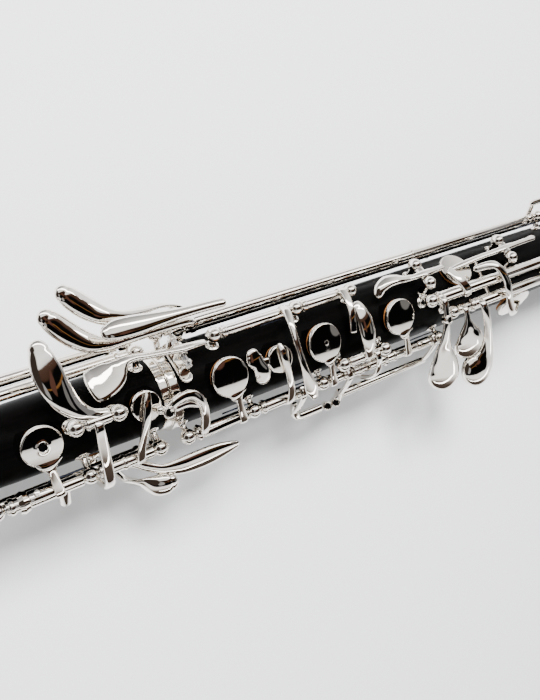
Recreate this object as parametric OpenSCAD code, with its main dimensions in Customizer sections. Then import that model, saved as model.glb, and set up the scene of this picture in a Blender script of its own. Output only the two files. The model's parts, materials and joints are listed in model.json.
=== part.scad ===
// Oboe with conservatoire keywork, lying keys-up along +X.
// +X runs down the bore to the bell, +Z is the front of the instrument, +Y is the left-hand side.
// The origin is the centre of the reed socket's mouth. Millimetres.

/* [Body] */
// Distance from the reed socket's mouth to the end of the bell
total_len = 600; // [590:1:606]
// Where the upper joint meets the lower joint
joint_x = 244; // [243.6:0.1:244.4]
// Where the lower joint meets the bell
bell_x = 488; // [487:0.5:489]
// Outer diameter at the top of the upper joint
top_d = 17.2; // [17:0.1:17.6]
// Outer diameter at the foot of the upper joint
upper_foot_d = 22.8; // [22.6:0.1:23]
// Outer diameter at the top of the lower joint
lower_top_d = 24.8; // [24.6:0.1:25]
// Outer diameter at the foot of the lower joint
lower_foot_d = 26; // [25.8:0.1:26.2]
// Diameter of the bell's rim
rim_d = 47; // [46:0.5:47]
// Bore diameter under the reed socket
bore_top_d = 4.4; // [4:0.1:5]
// Bore diameter at the foot of the lower joint
bore_foot_d = 15.6; // [15:0.1:16]

/* [Reed socket] */
// Bore that takes the reed's cork
socket_d = 6.9; // [6.8:0.05:7.1]
// Depth that the reed's cork enters
socket_len = 21; // [20:0.5:23]

/* [Keywork] */
// Outside diameter of a hinge tube
tube_d = 3.4; // [3.2:0.1:3.4]
// Outside diameter of the heavy right-hand hinge tubes
heavy_d = 4.2; // [4:0.1:4.2]
// Diameter of a hinge rod
rod_d = 2; // [1.8:0.05:2]
// Radial clearance of a hinge tube on its rod
run_gap = 0.06; // [0.04:0.01:0.1]
// Diameter of a post's ball
ball_d = 4.2; // [4:0.1:4.2]
// How far a finger plate opens
open_deg = 6; // [5:0.5:6]
// How far a low key of the foot and bell opens
low_open_deg = 5; // [4:0.5:5]
// Height of a cup above its pad seat
cup_h = 3.2; // [3:0.1:3.3]

/* [Hidden] */
$fn = 48;

silver = "gainsboro";
wood = "#1b1a1a";
pad_tan = "peru";
cork_tan = "burlywood";
blue_steel = "slategray";

// Hinge lines, each as [y, z]
main_line = [-14, 9.8];
trill_line_1 = [-14.2, 5.1];
trill_line_2 = [-8.8, -12.6];
long_line = [17.8, 3.8];
octave_line = [15, 8.2];
index_line = [13.3, 10.6];
bell_line = [15.2, -3];
c_line = [2.2, 17.6];
e_flat_line = [-4.6, 16.9];
g_sharp_line = [2.2, 17];
f_line = [-9, 14.5];
bell_key_line = [0.5, 20.5];

// Cross pivots, each as [x, angle round the body from +Y, distance from the axis]
left_f_pivot = [249.5, 46, 17.6];
resonance_pivot = [347.5, 48, 17];
cup_pivot = [391.6, 51, 17];
pivot_half = 4.4;

shank_r = 1.5;
shank_len = 2;
foot_r = 2.3;
neck_r = 1.15;
seat_drop = 0.95;
pad_h = 1.6;
pad_in = 0.9;
wall = 0.5;
rim_len = 6;
ring_len = 2.8;
liner_wall = 0.8;
tenon_d = 19;
tenon_len = 18;
bell_tenon_d = 21;
bell_tenon_len = 13;
cork_h = 0.9;
rest_z = -23.5;

upper_top_x = 4;

// Cups: [x, angle, pad seat radius, cup radius]
half_hole_cup = [147, 90, 5.4];
a_cup = [176, 90, 5.75];
g_cup = [205, 90, 5.75];
c_vent_cup = [235, 86, 4.6];
octave_cup_1 = [98, 62, 3.6];
octave_cup_2 = [68, 75, 3.6];
g_sharp_cup = [221, 196, 3.7];
trill_cup_1 = [124, 118, 3.8];
trill_cup_2 = [109, 125, 3.8];
f_sharp_cup = [262.3, 86, 6.25];
g_vent_cup = [280.4, 86, 4.55];
e_cup = [298.4, 86, 6.5];
f_cup = [318.5, 196, 4.4];
d_cup = [331.7, 88, 6.4];
e_flat_cup = [366.5, 51, 6.5];
c_cup = [397, 144, 7.3];
low_b_cup = [441, 39, 7.5];
low_b_flat_cup = [519, 45, 8.6];

function lerp(a, b, t) = a + (b - a) * t;
function upper_r(x) = lerp(top_d, upper_foot_d, (x - 22) / (joint_x - 22)) / 2;
function lower_r(x) = lerp(lower_top_d, lower_foot_d, (x - joint_x) / (bell_x - joint_x)) / 2;
function bell_r(x) = lower_foot_d / 2 + 1.6
    + (rim_d / 2 - lower_foot_d / 2 - 1.6) * pow((x - bell_x) / (total_len - bell_x), 2.6);
function body_r(x) = x < joint_x ? upper_r(x) : x < bell_x ? lower_r(x) : bell_r(x);
function bore_r(x) = lerp(bore_top_d, bore_foot_d, (x - socket_len) / (bell_x - socket_len)) / 2;
function bell_bore_r(x) = bore_foot_d / 2
    + (rim_d / 2 - 2.2 - bore_foot_d / 2) * pow((x - bell_x) / (total_len - bell_x), 1.7);
function seat_r(cup) = body_r(cup[0]) - seat_drop;
function polar(r, a) = [r * cos(a), r * sin(a)];
function line_angle(p) = atan2(p[1], p[0]);

// Placing helpers
module lay(x, p) translate([x, p[0], p[1]]) rotate([0, 90, 0]) children();
module at_angle(a) rotate([a - 90, 0, 0]) children();
module swing(p, deg) translate([0, p[0], p[1]]) rotate([deg, 0, 0]) translate([0, -p[0], -p[1]]) children();

// A straight round bar between two points
module bar(a, b, r) {
    v = b - a;
    len = norm(v);
    translate(a) rotate([0, acos(v[2] / len), atan2(v[1], v[0])]) cylinder(r = r, h = len, $fn = 24);
}

// A bent round arm through the given points, its corners cut to curves and its ends domed
arm_sides = 14;
corner_cut = 0.3;
dome_len = 0.7;
dome_r = 0.6;
function unit(v) = v / norm(v);
function eased(p) = concat([p[0]], [for (i = [0 : len(p) - 2])
    each [lerp(p[i], p[i + 1], corner_cut), lerp(p[i], p[i + 1], 1 - corner_cut)]], [p[len(p) - 1]]);
function heading(p, i) = i == 0 ? unit(p[1] - p[0]) : i == len(p) - 1 ? unit(p[i] - p[i - 1])
    : unit(unit(p[i + 1] - p[i]) + unit(p[i] - p[i - 1]));
function across(v, t) = unit(v - (v * t) * t);
function ring(c, s, t, r) = [for (k = [0 : arm_sides - 1]) let (a = 360 * k / arm_sides)
    c + r * (cos(a) * s + sin(a) * cross(t, s))];
module arm(points, r) {
    p = eased(points);
    last = len(p) - 1;
    t = [for (i = [0 : last]) heading(p, i)];
    first = across(abs(t[0][0]) < 0.8 ? [1, 0, 0] : [0, 0, 1], t[0]);
    s = [for (i = 0, v = first; i <= last; i = i + 1, v = across(v, t[min(i, last)])) v];
    rings = concat([ring(p[0] - dome_len * r * t[0], s[0], t[0], dome_r * r)],
        [for (i = [0 : last]) ring(p[i], s[i], t[i], r)],
        [ring(p[last] + dome_len * r * t[last], s[last], t[last], dome_r * r)]);
    m = arm_sides;
    polyhedron([for (q = rings) each q], concat(
        [[for (k = [0 : m - 1]) k]],
        [for (i = [0 : last + 1], k = [0 : m - 1]) [i * m + k, (i + 1) * m + (k + 1) % m, i * m + (k + 1) % m]],
        [for (i = [0 : last + 1], k = [0 : m - 1]) [i * m + k, (i + 1) * m + k, (i + 1) * m + (k + 1) % m]],
        [[for (k = [m - 1 : -1 : 0]) (last + 2) * m + k]]));
}

// A hinge tube without its bore, a collar on it, and the bore itself
module tube(p, x0, x1, d = tube_d) lay(x0, p) cylinder(d = d, h = x1 - x0);
module collar(p, x, w, d) lay(x - w / 2, p) cylinder(d = d, h = w);
module nut(p, x, w, d) lay(x - w / 2, p) cylinder(d = d, h = w, $fn = 8);
module rod_bore(p, x0, x1) lay(x0 - 1, p) cylinder(r = rod_d / 2 + run_gap, h = x1 - x0 + 2);

// A cup with a recess for its pad, the pad, and the cut that seats it in the body
module cup(c, seat = 0) {
    s = seat == 0 ? seat_r(c) : seat;
    at_angle(c[1]) translate([c[0], 0, s + pad_h - pad_in]) rotate_extrude() difference() {
        polygon([[0, 0], [c[2], 0], [c[2], cup_h - 1.5], [c[2] - 0.35, cup_h - 0.95],
            [c[2] - 1, cup_h - pad_h + pad_in], [0, cup_h - pad_h + pad_in]]);
        square([c[2] - wall, pad_in]);
    }
}
module pad(c, seat = 0) {
    s = seat == 0 ? seat_r(c) : seat;
    at_angle(c[1]) translate([c[0], 0, s]) cylinder(r = c[2] - wall - 0.05, h = pad_h);
}
module seat_cut(c, hole_r) {
    at_angle(c[1]) translate([c[0], 0, 0]) {
        translate([0, 0, seat_r(c) - 0.02]) cylinder(r = c[2] + 0.7, h = 8);
        cylinder(r = hole_r, h = 20);
    }
}
module tone_holes(cups) for (c = cups) seat_cut(c, c[2] * 0.42);

// A turned post: shank in the wood, flange, neck and a drilled ball
module post(x, a, r, y = 0, cross = false) {
    s = post_seat(x, y);
    base = s - post_depth(x, y);
    at_angle(a) translate([x, y, 0]) difference() {
        union() {
            translate([0, 0, r]) sphere(d = ball_d);
            rotate_extrude() polygon([[0, base], [shank_r, base], [shank_r, s], [foot_r, s],
                [foot_r, s + 0.6], [neck_r + 0.35, s + 1.1], [neck_r, s + 1.7],
                [neck_r, r - 1], [0, r - 1]]);
        }
        translate([0, 0, r]) rotate(cross ? [90, 0, 0] : [0, 90, 0])
            cylinder(d = rod_d + 0.02, h = 10, center = true);
    }
}
function post_seat(x, y) = sqrt(pow(body_r(x), 2) - pow(abs(y) + foot_r, 2)) - 0.05;
// A shank over the middle tenon stops short of it
function post_depth(x, y) = abs(x - joint_x - tenon_len / 2) < tenon_len / 2 + shank_r
    ? min(shank_len, post_seat(x, y) - tenon_d / 2 - 0.1) : shank_len;
module post_cut(x, a, y = 0) {
    s = post_seat(x, y);
    at_angle(a) translate([x, y, 0]) {
        translate([0, 0, s - post_depth(x, y)]) cylinder(r = shank_r + 0.02, h = 6);
        translate([0, 0, s]) cylinder(r = foot_r + 0.02, h = 6);
    }
}
module line_posts(p, xs) for (x = xs) post(x, line_angle(p), norm(p));
module line_cuts(p, xs) for (x = xs) post_cut(x, line_angle(p));
module cross_posts(c) for (side = [-1, 1]) post(c[0], c[1], c[2], side * pivot_half, true);
module cross_cuts(c) for (side = [-1, 1]) post_cut(c[0], c[1], side * pivot_half);
module cross_rod(c) at_angle(c[1]) translate([c[0], 0, c[2]]) rotate([90, 0, 0])
    cylinder(d = rod_d, h = 2 * pivot_half + 3, center = true);

main_upper = [137, 161, 190, 216, 237.5];
main_lower = [246.8, 270.4, 298.1, 353];
trill_posts_1 = [118.5, 238];
trill_posts_2 = [103.5, 232.5];
octave_posts = [63, 237.8];
long_upper_posts = [92, 236.6];
g_sharp_posts = [213.8, 226];
index_posts = [262.3, 292.8, 315.7];
long_posts = [246.8, 425.4];
bell_line_posts = [256.5, 480];
f_posts = [304.6, 323];
c_posts = [345.2, 432, 450];
e_flat_posts = [355.3, 414];
bell_key_posts = [503, 535];

// ---- Body ----
module turned(points) rotate([0, 90, 0]) rotate_extrude($fn = 96) polygon([for (p = points) [p[1], p[0]]]);

module upper_joint() color(wood) difference() {
    turned([[upper_top_x, 3], [upper_top_x, 9], [9, 10.6], [14, 10], [19, 8.9], [24, upper_r(24)],
        [joint_x - ring_len, upper_r(joint_x - ring_len)],
        [joint_x - ring_len, upper_r(joint_x) - 0.8], [joint_x, upper_r(joint_x) - 0.8], [joint_x, tenon_d / 2],
        [joint_x + 3, tenon_d / 2], [joint_x + 3, tenon_d / 2 - cork_h],
        [joint_x + tenon_len - 3, tenon_d / 2 - cork_h], [joint_x + tenon_len - 3, tenon_d / 2],
        [joint_x + tenon_len, tenon_d / 2], [joint_x + tenon_len, 3]]);
    turned([[-1, 0], [-1, socket_d / 2 + liner_wall], [socket_len + 1, socket_d / 2 + liner_wall],
        [socket_len + 1, bore_top_d / 2], [joint_x + tenon_len + 1, bore_r(joint_x + tenon_len)],
        [joint_x + tenon_len + 1, 0]]);
    tone_holes([half_hole_cup, a_cup, g_cup, c_vent_cup, octave_cup_1, octave_cup_2,
        g_sharp_cup, trill_cup_1, trill_cup_2]);
    line_cuts(main_line, main_upper);
    line_cuts(trill_line_1, trill_posts_1);
    line_cuts(trill_line_2, trill_posts_2);
    line_cuts(octave_line, octave_posts);
    line_cuts(long_line, long_upper_posts);
    line_cuts(g_sharp_line, g_sharp_posts);
}

module lower_joint() color(wood) difference() {
    turned([[joint_x, 6], [joint_x, lower_r(joint_x) - 1], [joint_x + ring_len, lower_r(joint_x) - 1],
        [joint_x + ring_len, lower_r(joint_x + ring_len)], [bell_x, lower_foot_d / 2], [bell_x, bell_tenon_d / 2],
        [bell_x + 2.5, bell_tenon_d / 2], [bell_x + 2.5, bell_tenon_d / 2 - cork_h],
        [bell_x + bell_tenon_len - 2.5, bell_tenon_d / 2 - cork_h],
        [bell_x + bell_tenon_len - 2.5, bell_tenon_d / 2], [bell_x + bell_tenon_len, bell_tenon_d / 2],
        [bell_x + bell_tenon_len, 6]]);
    turned([[joint_x - 1, 0], [joint_x - 1, tenon_d / 2 + 0.05],
        [joint_x + tenon_len + 0.2, tenon_d / 2 + 0.05],
        [joint_x + tenon_len + 0.2, bore_r(joint_x + tenon_len)],
        [bell_x + bell_tenon_len + 1, bore_foot_d / 2], [bell_x + bell_tenon_len + 1, 0]]);
    tone_holes([f_sharp_cup, g_vent_cup, e_cup, f_cup, d_cup, e_flat_cup, c_cup, low_b_cup]);
    line_cuts(main_line, main_lower);
    line_cuts(index_line, index_posts);
    line_cuts(long_line, long_posts);
    line_cuts(bell_line, bell_line_posts);
    line_cuts(f_line, f_posts);
    line_cuts(c_line, c_posts);
    line_cuts(e_flat_line, e_flat_posts);
    cross_cuts(left_f_pivot);
    cross_cuts(resonance_pivot);
    cross_cuts(cup_pivot);
    rest_screw_holes();
}

module bell() color(wood) difference() {
    turned(concat([[bell_x, 10], [bell_x, bell_r(bell_x) - 0.9], [bell_x + 5, bell_r(bell_x) - 0.9]],
        [for (i = [0 : 10]) let (x = bell_x + 5 + i * (total_len - rim_len - bell_x - 5) / 10)
            [x, bell_r(x) - (i == 10 ? 0.8 : 0)]],
        [[total_len - 0.6, rim_d / 2 - 1.2], [total_len - 0.6, 10]]));
    turned(concat([[bell_x - 1, 0], [bell_x - 1, bell_tenon_d / 2 + 0.05],
        [bell_x + bell_tenon_len + 0.2, bell_tenon_d / 2 + 0.05]],
        [for (i = [0 : 9]) let (x = bell_x + bell_tenon_len + 0.2
            + i * (total_len - bell_x - bell_tenon_len) / 9) [x, bell_bore_r(x)]],
        [[total_len + 1, 0]]));
    seat_cut(low_b_flat_cup, 3.4);
    line_cuts(bell_key_line, bell_key_posts);
}

module tenon_cork(x0, x1, d) difference() {
    turned([[x0, d / 2 - cork_h], [x0, d / 2], [x1, d / 2], [x1, d / 2 - cork_h]]);
}
module tenon_corks() color(cork_tan) {
    tenon_cork(joint_x + 3, joint_x + tenon_len - 3, tenon_d);
    tenon_cork(bell_x + 2.5, bell_x + bell_tenon_len - 2.5, bell_tenon_d);
}

module top_ring() color(silver) turned([[1, socket_d / 2 + liner_wall + 0.02], [1, 8.2], [1.8, 9],
    [upper_top_x - 0.8, 9], [upper_top_x, 8.6], [upper_top_x, socket_d / 2 + liner_wall + 0.02]]);

module band(x0, x1, r0, r1) turned([[x0, r0], [x0, r1 - 0.3], [x0 + 0.3, r1], [x1 - 0.3, r1],
    [x1, r1 - 0.3], [x1, r0]]);
module ferrules() color(silver) {
    band(joint_x - ring_len, joint_x - 0.05, upper_r(joint_x) - 0.8, upper_r(joint_x) + 0.35);
    difference() {
        band(joint_x, joint_x + ring_len, lower_r(joint_x) - 1, lower_r(joint_x) + 0.3);
        line_cuts(main_line, [main_lower[0]]);
        line_cuts(long_line, [long_posts[0]]);
    }
    band(bell_x, bell_x + 5, bell_r(bell_x) - 0.9, bell_r(bell_x) + 0.3);
}
module bell_ring() color(silver) {
    turned([[total_len - rim_len, bell_r(total_len - rim_len) - 0.8],
        [total_len - rim_len, bell_r(total_len - rim_len) + 0.3], [total_len - 0.8, rim_d / 2],
        [total_len, rim_d / 2 - 0.6], [total_len, rim_d / 2 - 2.6],
        [total_len - 0.6, rim_d / 2 - 2.6], [total_len - 0.6, rim_d / 2 - 1.2]]);
}

module reed_socket() color(silver) difference() {
    lay(0, [0, 0]) cylinder(r = socket_d / 2 + liner_wall, h = socket_len + 1);
    lay(-1, [0, 0]) cylinder(d = socket_d, h = socket_len + 1);
    lay(-1, [0, 0]) cylinder(d = bore_top_d, h = socket_len + 4);
}

// ---- Thumb rest ----
rest_x = 279;
rest_len = 22;
rest_w = 15;
rest_screws = [rest_x - 7.5, rest_x + 7.5];
module thumb_rest() color(silver) difference() {
    union() {
        translate([rest_x - rest_len / 2, -5, -lower_r(rest_x) - 1.6]) cube([rest_len, 10, 3.4]);
        translate([rest_x - 2, -3.5, rest_z + 1]) cube([4, 7, -lower_r(rest_x) - rest_z - 1.6]);
        translate([rest_x - 9, -rest_w / 2, rest_z]) cube([20, rest_w, 2.2]);
    }
    lay(0, [0, 0]) cylinder(r = lower_r(rest_x) + 0.05, h = 400, $fn = 96);
    rest_screw_holes();
}
module rest_screw_holes() for (x = rest_screws) translate([x, 0, -lower_r(x) - 1.7])
    cylinder(d = 1.62, h = 5);
module thumb_rest_screws() color(silver) for (x = rest_screws) difference() {
    union() {
        translate([x, 0, -lower_r(x) - 1.7]) cylinder(d = 1.6, h = 4.5);
        translate([x, 0, -lower_r(rest_x) - 2.6]) cylinder(d = 3, h = 1);
    }
    translate([x - 2, -0.2, -lower_r(rest_x) - 3]) cube([4, 0.4, 0.9]);
}

// ---- Posts, rods and springs ----
module upper_posts() color(silver) {
    line_posts(main_line, main_upper);
    line_posts(trill_line_1, trill_posts_1);
    line_posts(trill_line_2, trill_posts_2);
    line_posts(octave_line, octave_posts);
    line_posts(long_line, long_upper_posts);
    line_posts(g_sharp_line, g_sharp_posts);
}
module lower_posts() color(silver) {
    line_posts(main_line, main_lower);
    line_posts(index_line, index_posts);
    line_posts(long_line, long_posts);
    line_posts(bell_line, bell_line_posts);
    line_posts(f_line, f_posts);
    line_posts(c_line, c_posts);
    line_posts(e_flat_line, e_flat_posts);
    cross_posts(left_f_pivot);
    cross_posts(resonance_pivot);
    cross_posts(cup_pivot);
    line_posts(bell_key_line, bell_key_posts);
}

module rod(p, xs) lay(xs[0] - 1.7, p) cylinder(d = rod_d, h = xs[len(xs) - 1] - xs[0] + 3.4);
module hinge_rods() color(silver) {
    rod(main_line, main_upper);
    rod(main_line, main_lower);
    rod(trill_line_1, trill_posts_1);
    rod(trill_line_2, trill_posts_2);
    rod(octave_line, octave_posts);
    rod(long_line, long_upper_posts);
    rod(g_sharp_line, g_sharp_posts);
    rod(index_line, index_posts);
    rod(long_line, long_posts);
    rod(bell_line, bell_line_posts);
    rod(f_line, f_posts);
    rod(c_line, c_posts);
    rod(e_flat_line, e_flat_posts);
    rod(bell_key_line, bell_key_posts);
    cross_rod(left_f_pivot);
    cross_rod(resonance_pivot);
    cross_rod(cup_pivot);
}

// A needle spring leaves its post's neck and lies along the body under the hinge tube
module needle(p, x, len) {
    r = norm(p) - 2.75;
    at_angle(line_angle(p)) translate([x, 0, r]) rotate([0, len > 0 ? 90 : -90, 0])
        translate([0, 0, neck_r]) cylinder(r = 0.25, h = abs(len), $fn = 16);
}
module needle_springs() color(blue_steel) {
    for (x = [161, 190, 216]) needle(main_line, x, -10);
    for (x = [270.4, 298.1]) needle(main_line, x, -9);
    needle(main_line, 353, -12);
    needle(octave_line, 63, 12);
    needle(long_line, 92, -10);
    needle(index_line, 292.8, -12);
    needle(long_line, 425.4, -12);
    needle(c_line, 432, -12);
}

// ---- Finger plates on the main line ----
// x0, x1: the tube; foot_x: where the arm leaves it; c: the cup
module plate_key(c, x0, x1, foot_x, deg, arm_r = 1.15) color(silver) swing(main_line, deg) difference() {
    union() {
        cup(c);
        tube(main_line, x0, x1);
        plate_arm(c, foot_x, arm_r);
        children();
    }
    rod_bore(main_line, x0, x1);
}
module plate_arm(c, foot_x, arm_r) {
    h = seat_r(c) + 2.95;
    arm([[foot_x, main_line[0], main_line[1] + 0.6], [lerp(foot_x, c[0], 0.35), -10.5, h - 1],
        [c[0], -c[2] + 0.2, h]], arm_r);
}
module plate_pad(c, deg) color(pad_tan) swing(main_line, deg) pad(c);

module half_hole_key() plate_key(half_hole_cup, 139.5, 158.5, 149, open_deg);
module half_hole_pad() plate_pad(half_hole_cup, open_deg);
module a_key() plate_key(a_cup, 163.5, 187.5, 179, open_deg) {
    collar(main_line, 168, 1.2, 4.2);
}
module a_pad() plate_pad(a_cup, open_deg);

module g_key() difference() {
    plate_key(g_cup, 192.5, 213.5, 206.6, open_deg) {
        collar(main_line, 194, 1.4, 4.4);
        nut(main_line, 197.2, 1.5, 4.7);
        tube(main_line, 198.5, 205.2, heavy_d);
        bar([208, main_line[0], main_line[1]], [208, -20, 7.9], 1.3);
    }
    swing(main_line, open_deg) {
        at_angle(90) translate([g_cup[0], 0, seat_r(g_cup) + pad_h + 0.4]) cylinder(d = 1.9, h = 5);
        translate([208, -21, 7.7]) rotate([-84, 0, 0]) cylinder(d = 1.4, h = 3);
    }
}
module g_pad() color(pad_tan) swing(main_line, open_deg) pad(g_cup);

// The small vent cup at the foot of the upper joint, with its S-shaped arm over the cup
module c_vent_key() color(silver) swing(main_line, open_deg) difference() {
    h = seat_r(c_vent_cup) + cup_h;
    union() {
        cup(c_vent_cup);
        tube(main_line, 218.5, 235);
        arm([[230.5, -14, 10.9], [231, -10.5, h - 0.5], [233.2, -5, h + 0.3], [234.6, 0.6, h]], 1.2);
    }
    rod_bore(main_line, 218, 235);
}
module c_vent_pad() color(pad_tan) swing(main_line, open_deg) pad(c_vent_cup);

// Forefinger plate of the right hand, with the hook that reaches over the middle joint
module f_sharp_key() plate_key(f_sharp_cup, 249.2, 268, 265.6, open_deg) {
    nut(main_line, 250.4, 1.5, 4.7);
    collar(main_line, 253.5, 1, 4.2);
    arm([[251.8, -14, 11], [251.6, -8.5, 15.6], [251, -2.6, 16.4], [247.5, -0.2, 16.4],
        [243.8, -0.9, 16.4], [240.4, -2.6, 16.4]], 1.2);
    translate([239.9, -2.7, 14.9]) cylinder(d = 3.4, h = 3);
    translate([237.6, -1.4, 15.4]) cylinder(d = 2.6, h = 1.4);
}
module f_sharp_pad() plate_pad(f_sharp_cup, open_deg);

// Small vent cup between the first two plates, with a two-lobed tab
module g_vent_key() plate_key(g_vent_cup, 272.8, 286, 283.2, open_deg) {
    translate([273.6, 2.2, 13.9]) cylinder(r = 2.9, h = 1.5);
    translate([274.2, -2.3, 13.9]) cylinder(r = 2.7, h = 1.5);
    bar([274, 0, 14.7], [277.5, 0, 14.6], 0.9);
}
module g_vent_pad() plate_pad(g_vent_cup, open_deg);

module e_key() difference() {
    plate_key(e_cup, 300.6, 306.1, 301.9, open_deg, 1.15);
    swing(main_line, open_deg) at_angle(e_cup[1])
        translate([e_cup[0], 0, seat_r(e_cup) + pad_h + 0.4]) cylinder(d = 1.2, h = 5);
}
module e_pad() plate_pad(e_cup, open_deg);

module d_key() plate_key(d_cup, 311, 341.2, 336.4, open_deg) {
    nut(main_line, 325.6, 1.5, 4.7);
    collar(main_line, 313.5, 1.2, 4.2);
    collar(main_line, 330, 1, 4.2);
}
module d_pad() plate_pad(d_cup, open_deg);

// U-shaped bridge that carries two adjusting screws and a long outboard bar
bridge_out = [-22.4, 3.2];
module bridge_leg(x) {
    arm([[x, main_line[0], main_line[1]], [x, -19, 7.2], [x, bridge_out[0], bridge_out[1]]], 1.15);
}
module bridge_key() color(silver) difference() {
    union() {
        tube(main_line, 286.4, 295.7);
        tube(main_line, 306.5, 310.6);
        tube(main_line, 341.6, 350.6);
        bridge_leg(288.6);
        bridge_leg(308.5);
        bridge_leg(349.4);
        bar([308.5, bridge_out[0], bridge_out[1]], [349.4, bridge_out[0], bridge_out[1]], 1.25);
        arm([[288.6, bridge_out[0], bridge_out[1]], [288.9, -24.2, 2.8], [300, -24.2, 2.8]], 1.1);
        arm([[301, -24.2, 2.8], [305.5, -24.2, 2.8], [308.5, bridge_out[0], bridge_out[1]]], 0.9);
        for (x = [301, 305]) translate([x, -24.2, 1.4]) cylinder(d = 3, h = 3.4);
    }
    rod_bore(main_line, 286, 351);
    for (x = [301, 305]) translate([x, -24.2, 3.2]) cylinder(d = 1.8, h = 3);
}

// ---- See-saw keys whose pads lie on the right-hand side ----
module seesaw_arm(p, x, c, out_y) {
    e = polar(seat_r(c) + cup_h + 0.1, c[1]);
    arm([[x, p[0], p[1]], [x, -11.5, 16.4], [x, out_y + 0.6, 12.4], [x, out_y, 8],
        [x, out_y, 1.5], [c[0], e[0] - 0.2, e[1]]], 1);
}
module g_sharp_key() color(silver) difference() {
    union() {
        tube(g_sharp_line, 216.2, 223.6);
        seesaw_arm(g_sharp_line, 219.6, g_sharp_cup, -18.7);
        cup(g_sharp_cup);
        hull() {
            translate([219, 4.5, 17.2]) sphere(r = 1.4, $fn = 20);
            translate([212.5, 8.5, 18.2]) rotate([0, 0, 30]) cylinder(r = 2.6, h = 1.8, center = true, $fn = 24);
        }
        hull() {
            translate([212.5, 8.5, 18.2]) rotate([0, 0, 30]) cylinder(r = 2.6, h = 1.8, center = true, $fn = 24);
            translate([208.8, 16, 19]) cylinder(r = 3.9, h = 1.8, center = true, $fn = 32);
        }
        hull() {
            translate([208.8, 16, 19]) cylinder(r = 3.9, h = 1.8, center = true, $fn = 32);
            translate([209.4, 23.5, 19.6]) cylinder(r = 3.6, h = 1.8, center = true, $fn = 32);
        }
    }
    rod_bore(g_sharp_line, 216, 224);
}
module g_sharp_pad() color(pad_tan) pad(g_sharp_cup);

module f_key() color(silver) difference() {
    union() {
        tube(f_line, 307, 320.6);
        seesaw_arm(f_line, 318.3, f_cup, -18.4);
        cup(f_cup);
        hull() {
            translate([316.8, -8.2, 15.4]) sphere(r = 1.6, $fn = 20);
            translate([316, 1, 17]) cylinder(r = 3, h = 1.6, center = true, $fn = 32);
        }
        hull() {
            translate([316, 1, 17]) cylinder(r = 3, h = 1.6, center = true, $fn = 32);
            translate([315, 9.6, 17]) cylinder(r = 1.7, h = 1.6, center = true, $fn = 32);
        }
    }
    rod_bore(f_line, 307, 321);
}
module f_pad() color(pad_tan) pad(f_cup);

// ---- Right-hand trill keys ----
// An arm that follows the body from a hinge line round to a cup; side is 1 from the right, -1 from the left
module wrap_arm(x, p, c, r, steps, side = 1) {
    a0 = side > 0 && line_angle(p) < 0 ? line_angle(p) + 360 : line_angle(p);
    mid = body_r(x) + 2.1;
    end = polar(seat_r(c) + 3.1, c[1] + side * 14);
    pts = concat([[x, p[0], p[1]]],
        [for (i = [0 : steps]) let (q = polar(mid, lerp(a0, c[1] + side * 28, i / steps))) [x, q[0], q[1]]],
        [[c[0], end[0], end[1]]]);
    arm(pts, r);
}
module trill_key_1() color(silver) difference() {
    union() {
        tube(trill_line_1, 121, 235.5);
        cup(trill_cup_1);
        wrap_arm(124, trill_line_1, trill_cup_1, 0.9, 2);
        arm([[228.5, -14.2, 5.1], [230.5, -18, 3.6], [236, -21, 4.2]], 1.3);
        hull() {
            translate([236, -21, 4.2]) sphere(r = 1.5, $fn = 20);
            translate([248, -22.2, 5.6]) cylinder(r = 3.4, h = 1.8, center = true, $fn = 32);
        }
        hull() {
            translate([248, -22.2, 5.6]) cylinder(r = 3.4, h = 1.8, center = true, $fn = 32);
            translate([262.6, -22.6, 6]) cylinder(r = 1.6, h = 1.6, center = true, $fn = 32);
        }
    }
    rod_bore(trill_line_1, 121, 236);
}
module trill_pad_1() color(pad_tan) pad(trill_cup_1);

module trill_key_2() color(silver) difference() {
    union() {
        tube(trill_line_2, 106, 230);
        cup(trill_cup_2);
        wrap_arm(109, trill_line_2, trill_cup_2, 0.9, 5);
        arm([[227, -8.8, -12.6], [227, -19.5, -7], [228.5, -23.4, 0.5], [233.5, -25.6, 4.6]], 1.3);
        hull() {
            translate([233.5, -25.6, 4.6]) sphere(r = 1.5, $fn = 20);
            translate([238, -27.2, 5.6]) sphere(r = 2.9, $fn = 32);
        }
    }
    rod_bore(trill_line_2, 106, 230);
}
module trill_pad_2() color(pad_tan) pad(trill_cup_2);

// ---- Octave keys ----
module octave_key_1() color(silver) difference() {
    union() {
        tube(long_line, 94.6, 234);
        cup(octave_cup_1);
        wrap_arm(98, long_line, octave_cup_1, 0.9, 2, -1);
        arm([[152, 17.8, 3.8], [152, 17.4, -5], [152, 11, -13.6], [152, 5, -17.6]], 1.2);
        hull() {
            translate([149, 3, -18.2]) cylinder(r = 4, h = 1.8, center = true, $fn = 32);
            translate([161, 0, -18.2]) cylinder(r = 4, h = 1.8, center = true, $fn = 32);
        }
    }
    rod_bore(long_line, 94, 235);
}
module octave_pad_1() color(pad_tan) pad(octave_cup_1);

module octave_key_2() color(silver) difference() {
    union() {
        tube(octave_line, 65.6, 235.2);
        cup(octave_cup_2);
        arm([[68, 15, 8.2], [68, 9.5, 11.6], [68, polar(11.3, 75)[0], polar(11.3, 75)[1]]], 1);
        arm([[181, 15, 8.2], [184, 20, 12.6]], 1.2);
        hull() {
            translate([184, 20, 12.8]) cylinder(r = 2.2, h = 1.8, center = true, $fn = 32);
            translate([170, 23, 13.4]) cylinder(r = 3.3, h = 1.8, center = true, $fn = 32);
        }
    }
    rod_bore(octave_line, 65, 237);
}
module octave_pad_2() color(pad_tan) pad(octave_cup_2);

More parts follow.
